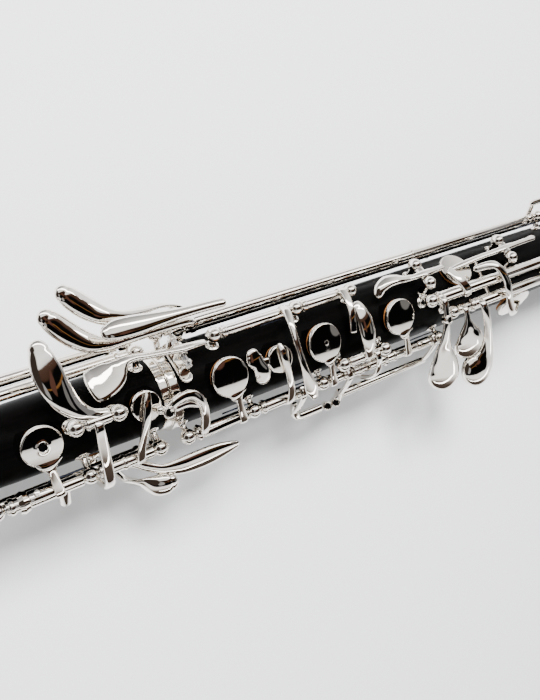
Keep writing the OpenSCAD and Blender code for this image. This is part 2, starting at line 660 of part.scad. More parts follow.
// ---- Levers on the left-hand side of the lower joint ----
module trill_lever() color(silver) difference() {
    union() {
        tube(index_line, 264.8, 290.4);
        arm([[288.4, 13.3, 11.2], [287.2, 8.4, 17.2], [286.6, -1.5, 18.6]], 1.2);
        hull() {
            translate([286.6, -1.5, 18.6]) sphere(r = 1.3, $fn = 20);
            translate([289, -12.6, 17.6]) cylinder(r = 2.5, h = 1.8, center = true, $fn = 32);
        }
    }
    rod_bore(index_line, 264, 291);
}
module finger_lever() color(silver) difference() {
    union() {
        tube(index_line, 295.2, 313.3);
        arm([[311.2, 13.3, 12], [310.4, 9, 15.6], [309, 4, 16.4]], 1);
        translate([309.5, 2.2, 15.6]) cylinder(r = 1.4, h = 1.6);
    }
    rod_bore(index_line, 295, 314);
}

module left_e_flat_lever() color(silver) difference() {
    union() {
        tube(long_line, 249.2, 256);
        arm([[252, 17.8, 3.8], [252, 23.2, 6.6], [252, 24, 13]], 1.2);
        hull() {
            translate([231.8, 24.2, 14]) cylinder(r = 3.3, h = 1.8, center = true, $fn = 32);
            translate([243, 23.4, 14]) cylinder(r = 2.7, h = 1.8, center = true, $fn = 32);
        }
        hull() {
            translate([243, 23.4, 14]) cylinder(r = 2.7, h = 1.8, center = true, $fn = 32);
            translate([266, 22.6, 13]) cylinder(r = 1.5, h = 1.8, center = true, $fn = 32);
        }
    }
    rod_bore(long_line, 248, 257);
}

// Low B lever: touch, long tube, and the bar that reaches past the far post
module low_b_lever() color(silver) difference() {
    union() {
        tube(long_line, 256.4, 422.9);
        arm([[258.4, 17.8, 3.8], [258.4, 17.8, 8.2], [255.6, 19.4, 9.6], [233, 19.6, 9.6],
            [229, 20.6, 9.4]], 1.2);
        hull() {
            translate([229, 20.6, 9.4]) sphere(r = 1.5, $fn = 20);
            translate([221, 27.2, 9.2]) cylinder(r = 3.2, h = 1.8, center = true, $fn = 32);
        }
        hull() {
            translate([221, 27.2, 9.2]) cylinder(r = 3.2, h = 1.8, center = true, $fn = 32);
            translate([216.4, 31.4, 9.6]) cylinder(r = 2.7, h = 1.8, center = true, $fn = 32);
        }
        arm([[419.6, 17.8, 3.8], [419.6, 24.2, 7.6], [443, 24.2, 7.6]], 1.2);
        translate([432, 24.2, 6.4]) cylinder(d = 3.2, h = 4.4);
    }
    rod_bore(long_line, 256, 423);
}
module low_b_key() color(silver) swing(c_line, low_open_deg) difference() {
    top = seat_r(low_b_cup) + cup_h;
    union() {
        tube(c_line, 434.6, 447.4);
        cup(low_b_cup);
        arm([[441, 2.2, 17.6], [441, polar(top + 1.6, 60)[0], polar(top + 1.6, 60)[1]],
            [441, polar(top + 0.6, 39)[0], polar(top + 0.6, 39)[1]], [441, 18.4, 8.8],
            [441, 22.6, 0.8]], 1.2);
    }
    rod_bore(c_line, 434, 448);
}
module low_b_pad() color(pad_tan) swing(c_line, low_open_deg) pad(low_b_cup);

module low_b_flat_lever() color(silver) difference() {
    union() {
        tube(bell_line, 259, 477.6);
        arm([[262, 15.2, -3], [262, 20.5, -3.4], [250, 25, 2], [236, 26, 8], [231.6, 27, 9]], 1.2);
        hull() {
            translate([231.6, 27, 9]) sphere(r = 1.5, $fn = 20);
            translate([225.8, 32.2, 9]) cylinder(r = 3.1, h = 1.8, center = true, $fn = 32);
        }
        hull() {
            translate([225.8, 32.2, 9]) cylinder(r = 3.1, h = 1.8, center = true, $fn = 32);
            translate([222, 36.2, 9.4]) cylinder(r = 2.7, h = 1.8, center = true, $fn = 32);
        }
        arm([[475, 15.2, -3], [475, 21.5, 0.5], [475, 22.4, 6.8], [488, 22.4, 6.8]], 1.1);
    }
    rod_bore(bell_line, 259, 478);
}

module low_b_flat_key() color(silver) swing(bell_key_line, low_open_deg) difference() {
    top = seat_r(low_b_flat_cup) + cup_h;
    union() {
        tube(bell_key_line, 505.6, 532.4);
        cup(low_b_flat_cup);
        arm([[519, bell_key_line[0], bell_key_line[1]],
            [519, polar(top + 1.8, 66)[0], polar(top + 1.8, 66)[1]],
            [519, polar(top, 45)[0], polar(top, 45)[1]], [512, 18.4, 8.4], [500, 22.4, 2.6],
            [484, 22.4, 1.8]], 1.2);
    }
    rod_bore(bell_key_line, 505, 533);
}
module low_b_flat_pad() color(pad_tan) swing(bell_key_line, low_open_deg) pad(low_b_flat_cup);

// ---- Levers on cross pivots: built along X at a pivot's own angle ----
module cross_key(c) color(silver) at_angle(c[1]) difference() {
    union() {
        translate([c[0], 0, c[2]]) rotate([90, 0, 0])
            cylinder(d = tube_d, h = 2 * pivot_half - ball_d - 0.4, center = true);
        children();
    }
    translate([c[0], 0, c[2]]) rotate([90, 0, 0]) cylinder(r = rod_d / 2 + run_gap, h = 12, center = true);
}

module left_f_lever() cross_key(left_f_pivot) {
    arm([[257.4, 0, 18], [249.5, 0, 18.6], [240, 0, 20.2], [233.5, 0.4, 20.9]], 1.1);
    hull() {
        translate([233.5, 0.4, 20.9]) sphere(r = 1.3, $fn = 20);
        translate([227, 0.6, 21.1]) cylinder(r = 3.2, h = 1.6, center = true, $fn = 32);
    }
    hull() {
        translate([227, 0.6, 21.1]) cylinder(r = 3.2, h = 1.6, center = true, $fn = 32);
        translate([221.2, -3.4, 20.9]) cylinder(r = 1.8, h = 1.6, center = true, $fn = 32);
        translate([221.2, 3.6, 20.9]) cylinder(r = 1.8, h = 1.6, center = true, $fn = 32);
    }
}

module resonance_lever() cross_key(resonance_pivot) {
    arm([[357, 0.6, 17.4], [347.5, 0, 17.9], [340, 0, 17.4]], 1.1);
    hull() {
        translate([340, 0, 17.4]) sphere(r = 1.3, $fn = 20);
        translate([331, -0.4, 17.2]) cylinder(r = 2.5, h = 1.6, center = true, $fn = 32);
    }
    hull() {
        translate([331, -0.4, 17.2]) cylinder(r = 2.5, h = 1.6, center = true, $fn = 32);
        translate([326.2, -2.6, 16.6]) cylinder(r = 1.9, h = 1.6, center = true, $fn = 32);
    }
}

module e_flat_cup_key() {
    cross_key(cup_pivot) {
        arm([[409, -1, 17.2], [400, -0.5, 17.8], [391.6, 0, 17.8], [376, 0, 16.8],
            [368, 0, seat_r(e_flat_cup) + cup_h]], 1.1);
        cup([e_flat_cup[0], 90, e_flat_cup[2]]);
    }
}
module e_flat_pad() color(pad_tan) pad(e_flat_cup);

// ---- Little-finger keys of the right hand ----
module drop_touch(root, shoulder, tip, r) {
    hull() {
        translate(root) sphere(r = 1.3, $fn = 20);
        translate(shoulder) cylinder(r = r * 0.55, h = 2, center = true, $fn = 32);
    }
    hull() {
        translate(shoulder) cylinder(r = r * 0.55, h = 2, center = true, $fn = 32);
        translate(tip) cylinder(r = r, h = 2.4, center = true, $fn = 32);
    }
}
module c_key() color(silver) difference() {
    union() {
        tube(c_line, 347.6, 429.6, heavy_d);
        arm([[349.2, 2.2, 18.6], [348.6, -5.4, 20.6], [348, -11.5, 19]], 1.1);
        translate([348.6, -5.4, 19.4]) cylinder(d = 2.8, h = 2.4);
        drop_touch([348, -11.5, 19], [347.8, -18.5, 16], [348.3, -27.2, 13.6], 5.2);
        arm([[361.6, 2.2, 19], [359.5, 7, 18], [357.8, 10.2, 16.8]], 1);
        arm([[381, 8.4, 17.4], [382, 2.2, 20.6], [384, -4.6, 21.3], [386.5, -11.4, 20],
            [391, -16.4, 15.4], [396, -14.6, 11.8], [397, -13, 10.4]], 1.2);
        swing_c() cup(c_cup);
    }
    rod_bore(c_line, 347, 430);
}
module swing_c() swing(c_line, -open_deg) children();
module c_pad() color(pad_tan) swing_c() pad(c_cup);

module c_sharp_key() color(silver) difference() {
    union() {
        tube(e_flat_line, 357.8, 363.8);
        arm([[360, -4.6, 17.6], [360, -9.5, 18.6], [360.4, -13, 17.4]], 1);
        drop_touch([360.4, -13, 17.4], [361, -16.6, 16.2], [361.6, -21.4, 14.8], 4.8);
    }
    rod_bore(e_flat_line, 357, 364);
}
module e_flat_key() color(silver) difference() {
    union() {
        tube(e_flat_line, 364.2, 411.5, heavy_d);
        arm([[368.8, -4.6, 17.6], [370, -11, 18.8], [370.7, -19, 16.8]], 1.1);
        drop_touch([370.7, -19, 16.8], [370.8, -25, 14.8], [366.4, -31, 13.4], 4.6);
        arm([[377, -4.6, 16], [377, 1.5, 13.95], [377, 9, 11.3]], 0.6);
    }
    rod_bore(e_flat_line, 364, 412);
}

upper_joint();
lower_joint();
bell();
tenon_corks();
top_ring();
ferrules();
bell_ring();
reed_socket();
thumb_rest();
thumb_rest_screws();
upper_posts();
lower_posts();
hinge_rods();
needle_springs();
octave_key_1();
octave_pad_1();
octave_key_2();
octave_pad_2();
half_hole_key();
half_hole_pad();
a_key();
a_pad();
g_key();
g_pad();
c_vent_key();
c_vent_pad();
g_sharp_key();
g_sharp_pad();
trill_key_1();
trill_pad_1();
trill_key_2();
trill_pad_2();
f_sharp_key();
f_sharp_pad();
g_vent_key();
g_vent_pad();
trill_lever();
finger_lever();
e_key();
e_pad();
bridge_key();
f_key();
f_pad();
d_key();
d_pad();
resonance_lever();
e_flat_cup_key();
e_flat_pad();
c_key();
c_pad();
c_sharp_key();
e_flat_key();
left_e_flat_lever();
left_f_lever();
low_b_lever();
low_b_key();
low_b_pad();
low_b_flat_lever();
low_b_flat_key();
low_b_flat_pad();
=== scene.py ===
import json
import math

import bmesh
import bpy
from mathutils import Matrix, Vector
from mathutils.bvhtree import BVHTree


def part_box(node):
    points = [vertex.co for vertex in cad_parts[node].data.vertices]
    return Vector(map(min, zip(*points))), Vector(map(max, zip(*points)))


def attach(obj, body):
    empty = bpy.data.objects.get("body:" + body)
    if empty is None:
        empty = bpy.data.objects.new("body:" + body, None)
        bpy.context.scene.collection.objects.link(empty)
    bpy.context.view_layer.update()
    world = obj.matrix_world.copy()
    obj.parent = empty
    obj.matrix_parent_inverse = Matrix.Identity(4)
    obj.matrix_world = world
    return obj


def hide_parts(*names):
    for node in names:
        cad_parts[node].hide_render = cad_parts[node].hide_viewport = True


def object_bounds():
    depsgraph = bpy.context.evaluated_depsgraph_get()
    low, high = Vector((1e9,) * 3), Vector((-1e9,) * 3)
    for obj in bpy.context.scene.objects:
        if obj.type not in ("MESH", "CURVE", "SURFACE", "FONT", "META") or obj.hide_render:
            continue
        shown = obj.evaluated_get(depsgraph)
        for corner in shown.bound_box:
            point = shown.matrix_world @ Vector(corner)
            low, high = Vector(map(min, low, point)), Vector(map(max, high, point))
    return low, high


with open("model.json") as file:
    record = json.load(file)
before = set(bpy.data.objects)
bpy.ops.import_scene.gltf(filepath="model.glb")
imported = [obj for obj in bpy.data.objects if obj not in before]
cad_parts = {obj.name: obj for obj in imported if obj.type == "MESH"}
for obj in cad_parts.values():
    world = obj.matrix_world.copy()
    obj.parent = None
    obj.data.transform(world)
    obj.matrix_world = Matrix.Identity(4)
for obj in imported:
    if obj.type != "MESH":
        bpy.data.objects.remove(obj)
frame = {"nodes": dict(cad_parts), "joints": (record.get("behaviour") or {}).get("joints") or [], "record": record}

MM = 0.001
CREASE, PACKED_CREASE = math.radians(38), math.radians(35)  # sharper edges stay crisp
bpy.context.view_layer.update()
record = frame["record"]
joint_of = {j["child"]: j for j in frame["joints"]}
body_of_node = {n: b for b, members in record["behaviour"]["bodies"].items() for n in members}
X = Vector((1, 0, 0))


# ---------------------------------------------------------------- materials
class Graph:
    """A node tree that is filled by short calls."""

    def __init__(self, tree):
        self.tree = tree
        tree.nodes.clear()

    def node(self, kind, **settings):
        n = self.tree.nodes.new(kind)
        for key, value in settings.items():
            if key in n.inputs:
                n.inputs[key].default_value = value
            else:
                setattr(n, key, value)
        return n

    def link(self, a, b):
        self.tree.links.new(a, b)

    def ramp(self, source, stops):
        r = self.node("ShaderNodeValToRGB")
        r.color_ramp.elements.remove(r.color_ramp.elements[1])
        for i, (at, color) in enumerate(stops):
            e = r.color_ramp.elements[0] if i == 0 else r.color_ramp.elements.new(at)
            e.position = at
            e.color = (*color, 1)
        self.link(source, r.inputs[0])
        return r.outputs[0]

    def map(self, source, a, b, low, high):
        m = self.node("ShaderNodeMapRange")
        for i, v in enumerate((a, b, low, high)):
            m.inputs[i + 1].default_value = v
        self.link(source, m.inputs[0])
        return m.outputs[0]

    def noise(self, scale, detail=4.0, rough=0.55, stretch=(1, 1, 1)):
        place = self.node("ShaderNodeTexCoord")
        fit = self.node("ShaderNodeMapping")
        fit.inputs["Scale"].default_value = stretch
        self.link(place.outputs["Object"], fit.inputs["Vector"])
        n = self.node("ShaderNodeTexNoise")
        n.inputs["Scale"].default_value = scale
        n.inputs["Detail"].default_value = detail
        n.inputs["Roughness"].default_value = rough
        self.link(fit.outputs[0], n.inputs["Vector"])
        return n.outputs["Fac"]

    def blend(self, factor, a, b, how="MIX"):
        """Mixes two colours; each may be a socket or a plain colour."""
        m = self.node("ShaderNodeMix", data_type="RGBA", blend_type=how)
        for i, value in ((0, factor), (6, a), (7, b)):
            if isinstance(value, bpy.types.NodeSocket):
                self.link(value, m.inputs[i])
            else:
                m.inputs[i].default_value = value if i == 0 else (*value, 1)
        return m.outputs[2]

    def bump(self, height, strength, distance, normal=None):
        b = self.node("ShaderNodeBump")
        b.inputs["Strength"].default_value = strength
        b.inputs["Distance"].default_value = distance
        self.link(height, b.inputs["Height"])
        if normal is not None:
            self.link(normal, b.inputs["Normal"])
        return b.outputs[0]

    def surface(self, **inputs):
        s = self.node("ShaderNodeBsdfPrincipled")
        for key, value in inputs.items():
            socket = s.inputs[key.replace("_", " ")]
            if isinstance(value, bpy.types.NodeSocket):
                self.link(value, socket)
            else:
                socket.default_value = value
        out = self.node("ShaderNodeOutputMaterial")
        self.link(s.outputs[0], out.inputs[0])
        return s


def material(name):
    """A new material and its node tree."""
    m = bpy.data.materials.new(name)
    m.use_nodes = True
    return m, Graph(m.node_tree)


def silver_material():
    """Mirror-polished plate: handling haze, hairline polish marks and a slow ripple of hand finishing."""
    m, g = material("silver_plate")
    haze = g.noise(420, 5)
    tone = g.ramp(g.noise(160, 3), [(0.3, (0.84, 0.79, 0.725)), (0.7, (0.90, 0.855, 0.79))])
    hairs = g.noise(2600, 2, 0.6, (0.12, 1, 1))
    ripple = g.noise(210, 2, 0.4)
    fine = g.bump(hairs, 0.05, 0.00002)
    g.surface(Base_Color=tone, Metallic=1.0, Roughness=g.map(haze, 0.3, 0.8, 0.015, 0.06),
              Normal=g.bump(ripple, 0.10, 0.0001, fine))
    return m


def wood_material():
    """Oiled blackwood: nearly black, long pores along the bore, satin with a soft sheen."""
    m, g = material("blackwood")
    streaks = g.noise(900, 6, 0.65, (0.06, 1, 1))
    clouds = g.noise(60, 3)
    color = g.ramp(streaks, [(0.35, (0.0005, 0.00048, 0.00048)), (0.62, (0.0011, 0.001, 0.00095)),
                             (0.8, (0.003, 0.0023, 0.002))])
    pores = g.ramp(streaks, [(0.3, (0, 0, 0)), (0.42, (1, 1, 1))])
    g.surface(Base_Color=color, Roughness=g.map(clouds, 0.3, 0.7, 0.33, 0.42),
              Specular_IOR_Level=0.02, Normal=g.bump(pores, 0.12, 0.00005))
    return m


def cork_material(name, dark, light, scale):
    """Cork: granules between darker seams, with small open pits."""
    m, g = material(name)
    place = g.node("ShaderNodeTexCoord")
    cells = g.node("ShaderNodeTexVoronoi", Scale=scale)
    g.link(place.outputs["Object"], cells.inputs["Vector"])
    grains = g.ramp(cells.outputs["Distance"], [(0.0, light), (0.55, dark)])
    pits = g.noise(scale * 1.7, 3)
    worn = g.ramp(pits, [(0.35, (0.55, 0.5, 0.45)), (0.5, (1, 1, 1))])
    g.surface(Base_Color=g.blend(0.7, grains, worn, "MULTIPLY"), Roughness=g.map(pits, 0.3, 0.7, 0.62, 0.8),
              Normal=g.bump(cells.outputs["Distance"], 0.35, 0.00015))
    return m


def steel_material(name, color, rough):
    """Drawn steel: fine lines along its length."""
    m, g = material(name)
    lines = g.noise(3000, 2, 0.5, (0.05, 1, 1))
    tone = g.ramp(g.noise(300, 2), [(0.3, tuple(0.8 * c for c in color)), (0.7, color)])
    g.surface(Base_Color=tone, Metallic=1.0, Roughness=g.map(lines, 0.3, 0.7, rough * 0.8, rough * 1.3),
              Normal=g.bump(lines, 0.08, 0.00003))
    return m


def floor_material():
    """Pale seamless paper, with a very slight tooth."""
    m, g = material("paper")
    tooth = g.noise(900, 4)
    tone = g.ramp(g.noise(3, 3), [(0.3, (0.795, 0.813, 0.83)), (0.7, (0.81, 0.828, 0.845))])
    g.surface(Base_Color=tone, Roughness=g.map(tooth, 0.3, 0.7, 0.5, 0.6), Specular_IOR_Level=0.3,
              Normal=g.bump(tooth, 0.05, 0.0001))
    return m


materials = {
    "silver_plate": silver_material(),
    "blackwood": wood_material(),
    "pad_cork": cork_material("pad_cork", (0.34, 0.13, 0.035), (0.66, 0.30, 0.09), 2600),
    "cork": cork_material("cork", (0.28, 0.16, 0.08), (0.56, 0.36, 0.19), 1500),
    "steel": steel_material("steel", (0.62, 0.61, 0.6), 0.16),
    "blued_steel": steel_material("blued_steel", (0.045, 0.055, 0.085), 0.26),
}


# ---------------------------------------------------------------- mesh tools, in millimetres
class Shape:
    """Vertices and faces gathered into one mesh."""

    def __init__(self):
        self.verts = []
        self.faces = []

    def rings(self, rings, close=True):
        """Joins rings of equal length into a skin, with a flat face over each end unless close is off."""
        first = len(self.verts)
        n = len(rings[0])
        for ring in rings:
            self.verts.extend(ring)
        for i in range(len(rings) - 1):
            for k in range(n):
                a, b = first + i * n + k, first + i * n + (k + 1) % n
                self.faces.append((a, b, b + n, a + n))
        if close:
            self.faces.append(tuple(first + k for k in reversed(range(n))))
            last = first + (len(rings) - 1) * n
            self.faces.append(tuple(last + k for k in range(n)))

    def lathe(self, origin, axis, profile, n=40):
        """Turns (along, radius) pairs about an axis. A profile that ends where it began is a closed tube."""
        axis = Vector(axis).normalized()
        u = axis.orthogonal().normalized()
        v = axis.cross(u)
        turn = [u * math.cos(2 * math.pi * k / n) + v * math.sin(2 * math.pi * k / n) for k in range(n)]
        rings = [[Vector(origin) + axis * s + t * max(r, 0.01) for t in turn] for s, r in profile]
        self.rings(rings, close=profile[0] != profile[-1])

    def loft(self, stations, side=X, power=2.4, belly=1.0, n=20, steps=7, round_ends=(1, 1)):
        """A bar through stations of (point, half width, half thickness) or the same with its own side vector.
        The section is a superellipse, whose underside is belly times as deep."""
        rows = [(Vector(s[0]), s[1], s[2], Vector(s[3] if len(s) > 3 else side).normalized())
                for s in stations]
        fine = []
        for i in range(len(rows) - 1):
            quad = [rows[max(i - 1, 0)], rows[i], rows[i + 1], rows[min(i + 2, len(rows) - 1)]]
            for k in range(steps):
                fine.append(self.between(quad, k / steps))
        fine.append(rows[-1])
        count = len(fine)
        rings = []
        for i, (p, w, t, s) in enumerate(fine):
            tangent = (fine[min(i + 1, count - 1)][0] - fine[max(i - 1, 0)][0]).normalized()
            across = (s - tangent * s.dot(tangent)).normalized()
            up = tangent.cross(across) * -1
            caps = [(0, 1, 1)]
            if i in (0, count - 1) and round_ends[0 if i == 0 else 1]:
                reach = w * round_ends[0 if i == 0 else 1]
                caps = [(reach * math.sin(a), math.cos(a), math.cos(a) ** 0.6)
                        for a in (0, 0.25, 0.5, 0.75, 0.98, 1.17, 1.33, 1.45, 1.53)]
                if i == 0:
                    caps = [(-d, c, h) for d, c, h in reversed(caps)]
            for d, c, h in caps:
                rings.append([p + tangent * d + across * (w * c * x) + up * (t * h * y)
                              for x, y in self.section(n, power, belly)])
        self.rings(rings)

    @staticmethod
    def section(n, power, belly):
        """Unit superellipse."""
        out = []
        for k in range(n):
            c, s = math.cos(2 * math.pi * k / n), math.sin(2 * math.pi * k / n)
            x = math.copysign(abs(c) ** (2 / power), c)
            y = math.copysign(abs(s) ** (2 / power), s)
            out.append((x, y if y > 0 else y * belly))
        return out

    @staticmethod
    def between(quad, t):
        """Catmull-Rom blend of each item of four stations; widths stay positive."""
        def blend(a, b, c, d):
            return 0.5 * (2 * b + (c - a) * t + (2 * a - 5 * b + 4 * c - d) * t * t
                          + (3 * b - a - 3 * c + d) * t ** 3)
        p = blend(*[q[0] for q in quad])
        w = max(0.05, blend(*[q[1] for q in quad]))
        h = max(0.05, blend(*[q[2] for q in quad]))
        return p, w, h, blend(*[q[3] for q in quad]).normalized()

    def ball(self, p, r, n=28):
        """A sphere, turned about a line along X."""
        self.lathe(p, X, [(-r * math.cos(a * math.pi / 16), r * math.sin(a * math.pi / 16))
                          for a in range(17)], n)

    def build(self, name, slot, body, *replaced):
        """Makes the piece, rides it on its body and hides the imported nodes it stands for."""
        mesh = bpy.data.meshes.new(name)
        mesh.from_pydata([v * MM for v in self.verts], [], self.faces)
        bm = bmesh.new()
        bm.from_mesh(mesh)
        bmesh.ops.remove_doubles(bm, verts=bm.verts, dist=1e-7)
        bmesh.ops.recalc_face_normals(bm, faces=bm.faces)
        for face in bm.faces:
            face.smooth = True
        for edge in bm.edges:
            if len(edge.link_faces) == 2 and edge.calc_face_angle(0) > CREASE:
                edge.smooth = False
        bm.to_mesh(mesh)
        bm.free()
        mesh.materials.append(materials[slot])
        piece = bpy.data.objects.new(name, mesh)
        bpy.context.scene.collection.objects.link(piece)
        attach(piece, body)
        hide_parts(*replaced)
        return piece


def rotated(vector, axis, degrees):
    """The vector turned about an axis through the origin."""
    return Matrix.Rotation(math.radians(degrees), 3, axis) @ vector


class Key(Shape):
    """One key or lever. Its points are given from the low-X end of its CAD box and from its hinge line."""
    PIPE, PLATE_PIPE, BORE = 1.7, 1.9, 1.06  # outer radii of hinge tubes, and the bore round the rod
    CUP_TOP, CUP_RIM = 2.4, 0.55  # how high the crown stands, and how far the cup passes its pad

    def __init__(self, node, pad=None, opens=False):
        super().__init__()
        self.node = node
        self.body = body_of_node[node]
        joint = joint_of[self.body]
        self.hinge = Vector(joint["pos_m"]) / MM
        self.axis = Vector(joint["axis"])
        self.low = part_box(node)[0] / MM
        self.pad = pad
        self.hole_shades = 1
        self.pipe = self.PLATE_PIPE if opens else self.PIPE
        if pad:
            low, high = (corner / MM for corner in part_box(pad))
            self.middle = (low + high) / 2
            self.radius = (high.x - low.x) / 2 + self.CUP_RIM
            shut = sum(joint["range_deg"]) if opens else 0
            seated = self.hinge + rotated(self.middle - self.hinge, self.axis, shut)
            self.normal = rotated(Vector((0, seated.y, seated.z)).normalized(), self.axis, -shut)

    def at(self, x, y, z):
        return Vector((self.low.x + x, self.hinge.y + y, self.hinge.z + z))

    def tube(self, x0, x1, r=0.0, bands=()):
        """A hinge tube with eased ends; bands are (place, half width, radius, ridge)."""
        grow = 0 if r else self.pipe - self.PIPE
        r = r or self.pipe
        line = self.at(0, 0, 0)
        self.lathe(line, X, [(x0, self.BORE), (x0, r - 0.18), (x0 + 0.06, r - 0.06), (x0 + 0.18, r),
                             (x1 - 0.18, r), (x1 - 0.06, r - 0.06), (x1, r - 0.18), (x1, self.BORE),
                             (x0, self.BORE)])
        for at, half, radius, ridge in bands:
            radius += grow
            shoulder = radius - (0.32 if ridge else 0.08)
            self.lathe(line, X, [(at - half, r - 0.1), (at - half, shoulder - 0.12),
                                 (at - half * 0.7, shoulder), (at, radius), (at + half * 0.7, shoulder),
                                 (at + half, shoulder - 0.12), (at + half, r - 0.1), (at - half, r - 0.1)])

    def barrel(self):
        """The short tube of a lever whose rod lies across the body."""
        self.lathe(self.hinge - self.axis * 2.2, self.axis,
                   [(0, self.BORE), (0, 1.55), (0.15, self.PIPE), (4.25, self.PIPE), (4.4, 1.55),
                    (4.4, self.BORE), (0, self.BORE)])

    def cup(self, hole=0.0, lip=0.0, dome=0.5):
        """The pad cup: eased rim, gentle crown, and a vent with a raised lip where the plate has one."""
        r, top = self.radius, self.CUP_TOP
        crown = [(top - dome * (q / r) ** 2, q) for q in
                 [r - 0.5, r * 0.86, r * 0.74, r * 0.6, r * 0.45, max(r * 0.25, hole + lip + 0.08)]]
        profile = [(0.35, r - 0.5), (0.35, r - 0.14), (0.43, r - 0.03), (0.56, r), (1.3, r), (1.6, r - 0.05),
                   (top - dome - 0.12, r - 0.14), (top - dome * 0.9, r - 0.34)] + crown
        if hole:
            profile += [(top + 0.02, hole + lip), (top + 0.1, hole + lip * 0.85),
                        (top + 0.12, hole + lip * 0.3), (top + 0.02, hole), (0.8, hole),
                        (0.8, r - 0.5), (0.35, r - 0.5)]
        else:
            profile += [(top, 0.0), (top, 0.0)]
            profile = [(0.8, 0.0), (0.8, r - 0.5)] + profile
        self.lathe(self.middle, self.normal, profile, 64)
        if hole:
            # a black disc down the vent paints the shade inside it
            self.painted_hole_shade(self.middle + self.normal * (top - 0.7), self.normal, hole + 0.02)
        pad = Shape()
        q = r - 0.4
        rim = [(0.85, 0.0), (0.85, q), (-0.5, q), (-0.7, q - 0.1), (-0.8, q - 0.35), (-0.8, 0.0)]
        pad.lathe(self.middle, self.normal, rim, 64)
        pad.build(self.pad + "_disc", "pad_cork", self.body, self.pad)

    def neck(self, foot_x, width=1.35):
        """The flat arm of a finger plate: saddle on the tube, waist, and a flare under the rim."""
        c, n = self.middle, self.normal
        edge = c + n * 1.15 + Vector((0, -1, 0)) * (self.radius - 0.5)
        edge.x = c.x + (self.low.x + foot_x - c.x) * 0.3
        tube = self.at(foot_x, 0, 0)
        lean = Vector((1, (tube.x - c.x) * 0.1, 0))
        self.loft([
            (tube + Vector((0, -1.2, -1.35)), width * 1.1, 0.45),
            (tube + Vector((0, -1.78, 0.2)), width * 1.1, 0.55),
            (tube + Vector((0, -1.0, 1.6)), width * 1.05, 0.65),
            (tube.lerp(edge, 0.4) + Vector((0, 0, 1.0)), width * 0.86, 0.75, lean),
            (tube.lerp(edge, 0.75) + Vector((0, 0, 0.45)), width * 0.95, 0.8, lean),
            (edge + Vector((0, -0.5, 0)), width * 1.9, 0.85, lean),
            (edge + Vector((0, 0.9, 0)), width * 2.7, 0.6, lean),
        ], power=2.8, belly=1.0, round_ends=(0.4, 0))

    def done(self):
        return self.build(self.node + "_work", "silver_plate", self.body, self.node)

    def touch(self, stations, up=(0, 0, 1), power=2.1, belly=0.7, n=24, round_ends=(0, 1)):
        """A leaf or spoon through (point, half width, half thickness[, up]), broad face along up."""
        points = [Vector(s[0]) for s in stations]
        rows = []
        for i, s in enumerate(stations):
            ahead = points[min(i + 1, len(points) - 1)] - points[max(i - 1, 0)]
            rows.append((s[0], s[1], s[2], ahead.cross(Vector(s[3] if len(s) > 3 else up))))
        self.loft(rows, power=power, belly=belly, n=n, round_ends=round_ends)

    def painted_hole_shade(self, p, axis, r):
        """A black disc set down a drilled hole, painted in as the shade at its bottom."""
        disc = Shape()
        disc.lathe(p, axis, [(-0.2, 0.0), (-0.2, r), (0, r), (0.02, r * 0.6), (0.02, 0.0)], 24)
        disc.build("%s_hole_%d" % (self.node, self.hole_shades), "blackwood", self.body)
        self.hole_shades += 1

    def stud(self, p, axis, r, h, hollow=0.0):
        """A small turned boss, plain or drilled."""
        outer = [(0, r * 0.7), (0, r - 0.1), (0.1, r), (h - 0.18, r), (h - 0.05, r - 0.06), (h, r - 0.2)]
        if hollow:
            # a black disc down the drilling paints the shade inside it
            self.painted_hole_shade(Vector(p) + Vector(axis).normalized() * (h - 0.6), axis, hollow + 0.02)
            mid, half = (r + hollow) / 2, (r - hollow) / 2
            rim = [(h - half + half * math.sin(math.pi * i / 8), mid + half * math.cos(math.pi * i / 8))
                   for i in range(9)]
            self.lathe(p, axis, outer[:3] + rim + [(h * 0.35, hollow), (h * 0.35, 0.0)], 36)
        else:
            self.lathe(p, axis, outer + [(h, 0.0)], 36)

    def wrap(self, side, width=1.0, thick=0.55, dive=1.6):
        """A strap from the tube round the body to the cup's crown. Side is 1 for the way round with rising
        angle, and a larger dive brings it down to the body sooner."""
        end = self.middle + self.normal * 2.3
        h, e = Vector((self.hinge.y, self.hinge.z)), Vector((end.y, end.z))
        a0, a1 = math.atan2(h.y, h.x), math.atan2(e.y, e.x)
        while side * (a1 - a0) < 0:
            a1 += side * 2 * math.pi
        rows = []
        for i in range(9):
            t = i / 8
            r = h.length + (e.length + 0.15 - h.length) * min(1, t * dive)
            a = a0 + (a1 - a0) * t * 1.04
            grow = 1 if i < 7 else 1.5
            rows.append((Vector((self.middle.x, r * math.cos(a), r * math.sin(a))), width * grow, thick))
        self.loft(rows, power=2.8)


def solid_tree(*names):
    """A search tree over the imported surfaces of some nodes, in world millimetres."""
    verts, faces = [], []
    for name in names:
        node = frame["nodes"][name]
        first = len(verts)
        verts.extend(node.matrix_world @ v.co / MM for v in node.data.vertices)
        faces.extend(tuple(first + i for i in p.vertices) for p in node.data.polygons)
    return BVHTree.FromPolygons(verts, faces)


WOOD = solid_tree("upper_joint", "lower_joint", "bell")


